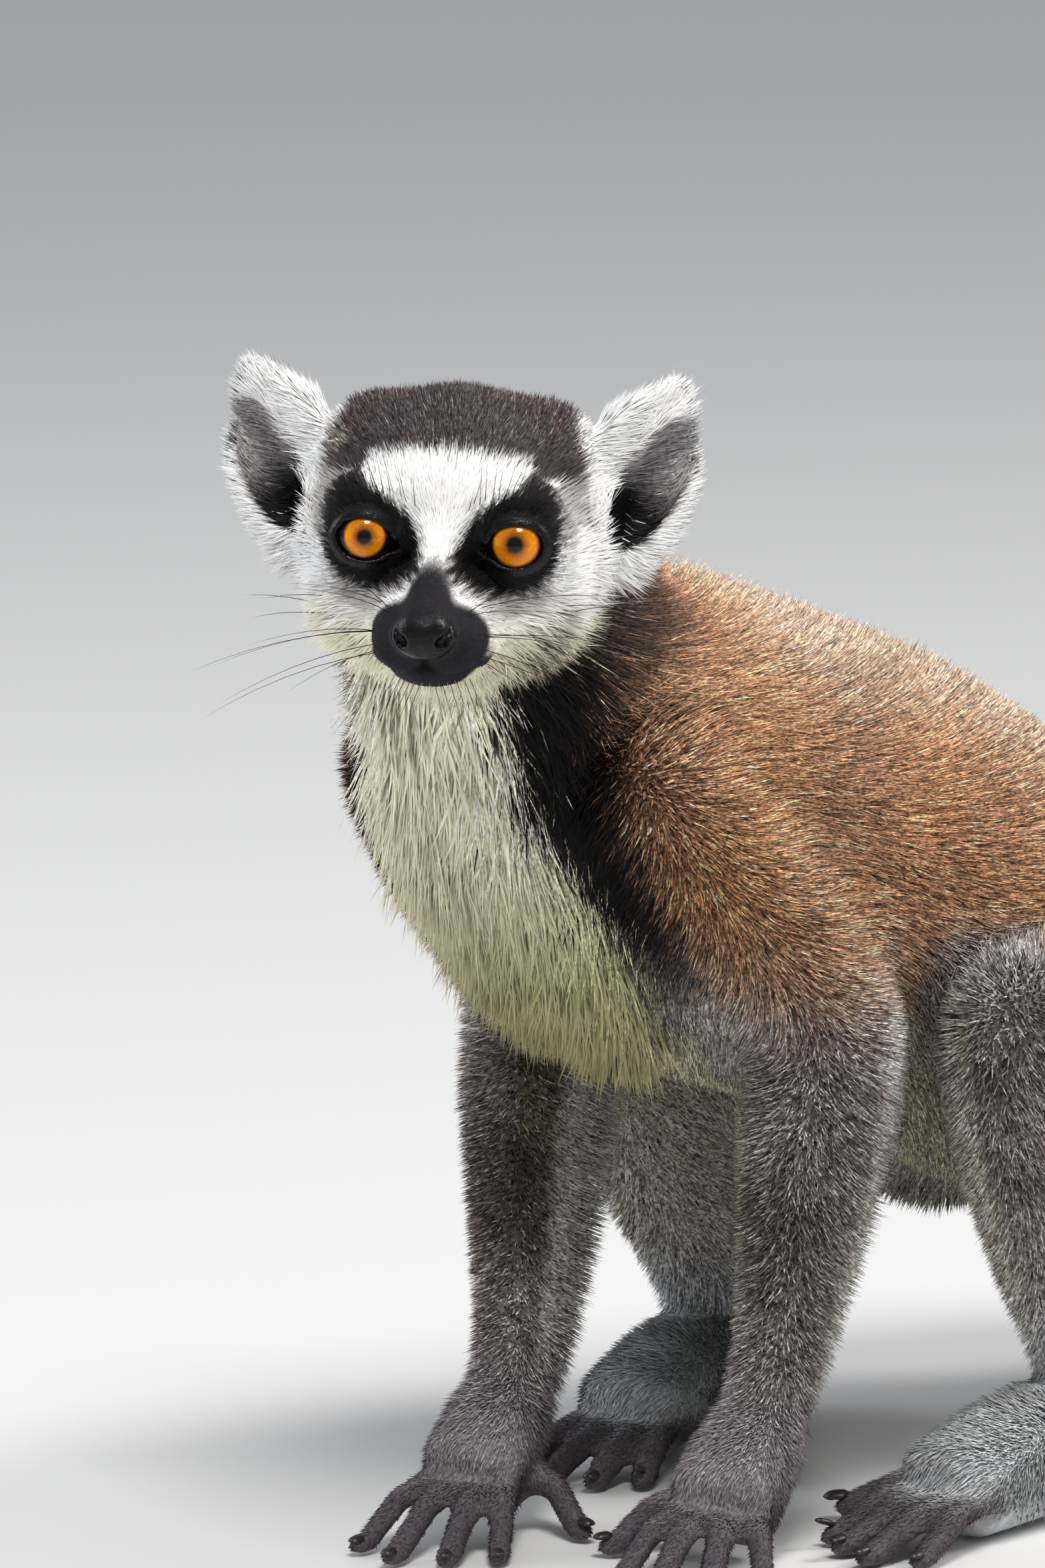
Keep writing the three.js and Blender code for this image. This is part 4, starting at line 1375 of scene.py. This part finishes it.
# Colours by how far from the middle of the eye they are, across its front and on over its rear.
EYE_EDGE = 7.0
EYE_COLOURS = [
    (0.0, (2, 2, 3)), (PUPIL - 0.1, (3, 2, 3)), (PUPIL + 0.2, (70, 36, 10)), (1.95, (150, 80, 10)),
    (3.2, (226, 134, 10)), (4.1, (236, 140, 10)), (4.5, (150, 76, 8)), (IRIS, (26, 15, 9)),
    (5.4, (14, 10, 9)), (EYE_EDGE, (20, 13, 11)),
]  # fmt: skip


def eye(side):
    front = unit(np.array(GAZE[side], float) @ AXES)
    across = unit(np.cross(front, [0, 0, 1.0]))
    eye_frame = np.array([across, np.cross(across, front), front])
    polar = np.linspace(0, math.pi, EYE_RINGS + 2)[1:-1]
    around = np.linspace(0, 2 * math.pi, EYE_SPOKES, endpoint=False)
    a, t = np.meshgrid(polar, around, indexing="ij")
    a = (a / math.pi) ** 1.35 * math.pi  # closer together at the front
    off = np.sin(a) * EYE_RADIUS / CORNEA_RADIUS
    r = EYE_RADIUS + CORNEA * np.exp(-((off**2) ** 1.3)) * (a < 1.5)
    local = np.stack([np.sin(a) * np.cos(t), np.sin(a) * np.sin(t), np.cos(a)], -1) * r[..., None]
    local = np.vstack([[[0, 0, EYE_RADIUS + CORNEA]], local.reshape(-1, 3), [[0, 0, -EYE_RADIUS]]])
    faces = ball(EYE_RINGS, EYE_SPOKES)[:, ::-1]
    obj = new_mesh("eyeball_" + side, local @ eye_frame + box_middle("eye_" + side), faces)
    x, y, z = local.T
    spread = np.where(z > 0, np.hypot(x, y), 2 * EYE_RADIUS - np.hypot(x, y))
    put(obj, "spread", "FLOAT", spread / IRIS_SCALE[side])
    safe = np.maximum(np.hypot(x, y), 1e-3)
    put(obj, "polar", "FLOAT_VECTOR", np.stack([x / safe * 3, y / safe * 3, spread * 0.25], 1))
    put(obj, "height", "FLOAT", y)
    obj.data.materials.append(EYE_MATERIAL)
    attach(obj, "root")
    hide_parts("eye_" + side)


def eye_material():
    """Rings of colour with streaks out from the pupil, in the shade of the upper lid."""
    m = Shader("eye", {"Roughness": 0.04, "Specular IOR Level": 0.34})
    ramp = m.node("ValToRGB")
    m.fill(ramp, {0: m.math("DIVIDE", m.read("spread")["Fac"], EYE_EDGE)})
    stops = ramp.color_ramp.elements
    while len(stops) < len(EYE_COLOURS):
        stops.new(0.5)
    for stop, (r, colour) in zip(stops, EYE_COLOURS):
        stop.position = r / EYE_EDGE
        stop.color = (*[float(c) for c in rgb(*colour)], 1)
    streaks = m.ranged(m.noise(m.read("polar")["Vector"], 5.5, 3), 0.3, 0.7, 0.72, 1.25)
    shade = m.ranged(m.read("height")["Fac"], 0.5, 4.6, 1.0, 0.5)
    m.paint(ramp.outputs["Color"], m.math("MULTIPLY", streaks, shade))
    return m.made


EYE_MATERIAL = eye_material()
for side in ("left", "right"):
    eye(side)


# ---- whiskers, brow hairs and chin hairs ----
HAIR_STEPS, HAIR_SIDES = 7, 3
HAIR_SEED = 8
NEAR_FACE = np.nonzero(norm(verts - HEAD_SPOT) < HEAD_BLOCK)[0]


def nearest_skin(q):
    """The skin's nearest point to each point of the head frame, and its normal there."""
    near = verts[NEAR_FACE]
    pick = NEAR_FACE[[int(np.argmin(((near - x) ** 2).sum(1))) for x in from_head(q)]]
    return verts[pick], normals[pick]


def hairs():
    """Root, heading, length, radius, droop and tone of each single hair, on both sides."""
    rng = np.random.default_rng(HAIR_SEED)
    out = []
    for side in (1, -1):
        for k in range(9):  # whiskers of the upper lip
            q = (side * (6.6 + 0.9 * (k % 3)), 18 - 3.6 * (k // 3), -15.5 - 2.6 * (k % 3))
            rise = 0.24 - 0.24 * (k % 3) + rng.normal(0, 0.16)
            aim = (side * 0.86, -0.3 + rng.normal(0, 0.2), rise)
            out.append((q, aim, rng.uniform(20, 44), 0.11, 0.35, 24))
        for k in range(3):  # whiskers of the cheek
            q = (side * (22 + k), -8 - 2.5 * k, -14 - 2 * k)
            aim = (side * 0.9, -0.2, 0.25 + rng.normal(0, 0.15))
            out.append((q, aim, rng.uniform(16, 26), 0.13, 0.3, 24))
        for k in range(11):  # brow hairs
            q = (side * (5.5 + 1.35 * k), 0, 5.5 + 0.75 * k)
            aim = (side * (0.05 + 0.05 * k) + rng.normal(0, 0.1), 0.1, 0.9)
            out.append((q, aim, rng.uniform(6.5, 10.5), 0.12, -0.25, 20))
        for k in range(5):  # pale hairs of the lower lip
            q = (side * (0.8 + 1.6 * k), 16.5 - 1.2 * k, -27.5)
            aim = (side * 0.25, 0.7, -0.5 + rng.normal(0, 0.2))
            out.append((q, aim, rng.uniform(3.5, 5), 0.1, 0.5, 190))
        for k in range(6):  # dark hairs under the chin
            q = (side * (1.5 + 1.5 * k), 13 - 2 * k, -30)
            out.append((q, (side * 0.4, 0.35, -0.85), rng.uniform(9, 16), 0.1, 0.3, 30))
    return out


def hair_mesh():
    rows = hairs()
    n = len(rows)
    root, normal = nearest_skin([r[0] for r in rows])
    aim = unit(unit(np.array([r[1] for r in rows])) @ AXES + normal * 0.25)
    length, radius, droop, tone = np.array([r[2:] for r in rows]).T
    t = np.linspace(0, 1, HAIR_STEPS)[None, :, None]
    fall = np.array([0, 0, -1.0]) * droop[:, None, None]
    line = root[:, None] + length[:, None, None] * (aim[:, None] * t + fall * t * t * 0.6)
    line[:, 0] -= normal * 0.5
    side = unit(np.cross(aim, [0.1, 0.2, 1.0]))
    over = np.cross(side, aim)
    thick = radius[:, None, None] * (1 - 0.8 * t[:, :-1])
    edges = []
    for k in range(HAIR_SIDES):
        turn = 2 * math.pi * k / HAIR_SIDES
        around = side * math.cos(turn) + over * math.sin(turn)
        edges.append(line[:, :-1] + around[:, None] * thick)
    points = np.concatenate([np.stack(edges, 2).reshape(n, -1, 3), line[:, -1:]], 1)
    size = points.shape[1]
    faces = copies(np.vstack([[[0, 2, 1]], tube(HAIR_STEPS - 1, HAIR_SIDES)]), size, n)
    obj = new_mesh("whiskers", points.reshape(-1, 3), faces)
    rgba = np.zeros((n, size, 4), F)
    rgba[..., :3] = np.array([rgb(v, v, v) for v in tone])[:, None]
    put(obj, "tint", "FLOAT_COLOR", rgba)
    along = np.linspace(-1, 1, size)[None, :, None]
    lay_out(obj, unwrap(root, "head")[:, None] + along * PATCH / 2, faces)
    obj.data.materials.append(COAT_FUR)
    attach(obj, "root")
    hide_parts("head", "muzzle", "lower_jaw")


hair_mesh()


# ---- nails ----
NAIL = rgb(38, 33, 34)
NAIL_RINGS, NAIL_SPOKES = 9, 10
# Length, half width, half thickness, and how a nail rises and then falls.
FLAT_NAIL = (5.2, 2.0, 0.8, 0.25, 0.5)
GROOMING_CLAW = (6.4, 1.2, 0.9, 0.9, 0.3)


def nail_shape(grooming):
    """Points of a nail, rooted at 0: along it, across it and up."""
    length, wide, thick, rise, fall = GROOMING_CLAW if grooming else FLAT_NAIL
    t = np.repeat(np.arange(1, NAIL_RINGS) / NAIL_RINGS, NAIL_SPOKES)
    turn = np.tile(2 * math.pi * np.arange(NAIL_SPOKES) / NAIL_SPOKES, NAIL_RINGS - 1)
    size = np.minimum(1, 0.45 + 2.6 * t) * np.minimum(1, 3.2 * (1 - t) + 0.1) ** 0.6
    y = wide * size * np.cos(turn)
    z = thick * size * np.sin(turn) - 0.16 * y * y + (rise * t - fall * t * t) * length * 0.5
    tip = [[length, 0, (rise - fall) * length * 0.5]]
    return np.vstack([[[-0.5, 0, 0]], np.stack([t * length, y, z], 1), tip])


def digit_end(start, heading, length, half, ahead, across):
    """The place on top of a digit where its nail is rooted, found on the skin."""
    middle = np.array(digit_point(start, heading, length * 0.8, half)) + SHIFT
    near = verts[norm(verts - middle) < half * 2.6] - middle
    near = near[(np.abs(near @ across) < half * 0.5) & (near[:, 2] > -half * 0.3)]
    reach = (near @ ahead).max() - 3.0
    top = near[np.abs(near @ ahead - reach) < 1.2][:, 2].max()
    return middle + ahead * reach + np.array([0, 0, top - 0.45])


def nails():
    points, nodes = [], []
    for name, side, start, heading, length, half, _ in all_digits():
        shape = nail_shape(name == "toe_2")
        ahead = np.array([math.sin(heading), -math.cos(heading), 0])
        across = np.array([math.cos(heading), math.sin(heading), 0])
        root = digit_end(start, heading, length, half, ahead, across)
        points.append(root + shape @ np.array([ahead, across, [0, 0, 1]]) * (half / 4.4))
        nodes.append(f"{name}_{side}")
    faces = copies(ball(NAIL_RINGS - 1, NAIL_SPOKES), len(shape), len(nodes))
    obj = new_mesh("nails", np.vstack(points), faces)
    colour = (*[float(c) for c in NAIL], 1)
    obj.data.materials.append(Shader("nail", {"Base Color": colour, "Roughness": 0.38}).made)
    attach(obj, "root")
    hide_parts(*nodes)


nails()


# ---- camera, floor and light ----
CAMERA_AZIMUTH, CAMERA_ELEVATION, CAMERA_AWAY = 43, 13, 2300
CAMERA_LOOK = (-22.1, 170.3)  # how far right and up of the model's foot the camera looks
LENS, SENSOR = 232.3, 36


def stand(obj, place, target):
    """Puts a lamp or the camera at a place, turned to the target, both in metres."""
    bpy.context.scene.collection.objects.link(obj)
    obj.location = place
    obj.rotation_mode = "QUATERNION"
    obj.rotation_quaternion = (Vector(target) - Vector(place)).to_track_quat("-Z", "Y")


def camera():
    az, el = math.radians(CAMERA_AZIMUTH), math.radians(CAMERA_ELEVATION)
    back = np.array([math.sin(az) * math.cos(el), -math.cos(az) * math.cos(el), math.sin(el)])
    right = np.array([math.cos(az), math.sin(az), 0])
    place = SHIFT + back * CAMERA_AWAY
    look = SHIFT + right * CAMERA_LOOK[0] + np.cross(back, right) * CAMERA_LOOK[1]
    data = bpy.data.cameras.new("camera")
    data.lens, data.sensor_width = LENS, SENSOR
    data.clip_start, data.clip_end = 0.05, 50
    cam = bpy.data.objects.new("camera", data)
    stand(cam, place * MM, look * MM)
    bpy.context.scene.camera = cam


camera()


# Name, place in metres, size, power and colour of each lamp, the point they all shine on, and
# the world's light.
LAMPS = [
    ("key", (0.9, -1.0, 2.1), 0.8, 40, (1, 0.985, 0.96)),
    ("fill", (-1.7, -1.0, 0.9), 1.2, 12, (0.93, 0.96, 1)),
    ("rim", (1.1, 1.5, 1.7), 0.8, 34, (1, 0.98, 0.95)),
]
LIT_SPOT = (0, 0, 0.15)
SKY, SKY_STRENGTH = (0.9, 0.92, 0.95, 1), 0.42
for name, place, size, power, colour in LAMPS:
    lamp = bpy.data.lights.new(name, "AREA")
    lamp.shape = "DISK"
    lamp.size, lamp.energy, lamp.color = size, power, colour
    stand(bpy.data.objects.new(name, lamp), place, LIT_SPOT)
world = bpy.data.worlds.new("world")
bpy.context.scene.world = world
world.use_nodes = True
background = world.node_tree.nodes["Background"]
background.inputs[0].default_value = SKY
background.inputs[1].default_value = SKY_STRENGTH
bpy.context.scene.view_settings.view_transform = "Standard"

FLOOR_HALF = 20000
corners = np.array([[-1, -1, 0], [1, -1, 0], [1, 1, 0], [-1, 1, 0]], F) * FLOOR_HALF
floor = new_mesh("floor", corners, np.array([[0, 1, 2, 3]]))
floor.data.materials.append(Shader("floor", {"Base Color": (0.8, 0.8, 0.8, 1)}).made)

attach(skin, "root")
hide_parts(*FLESH)
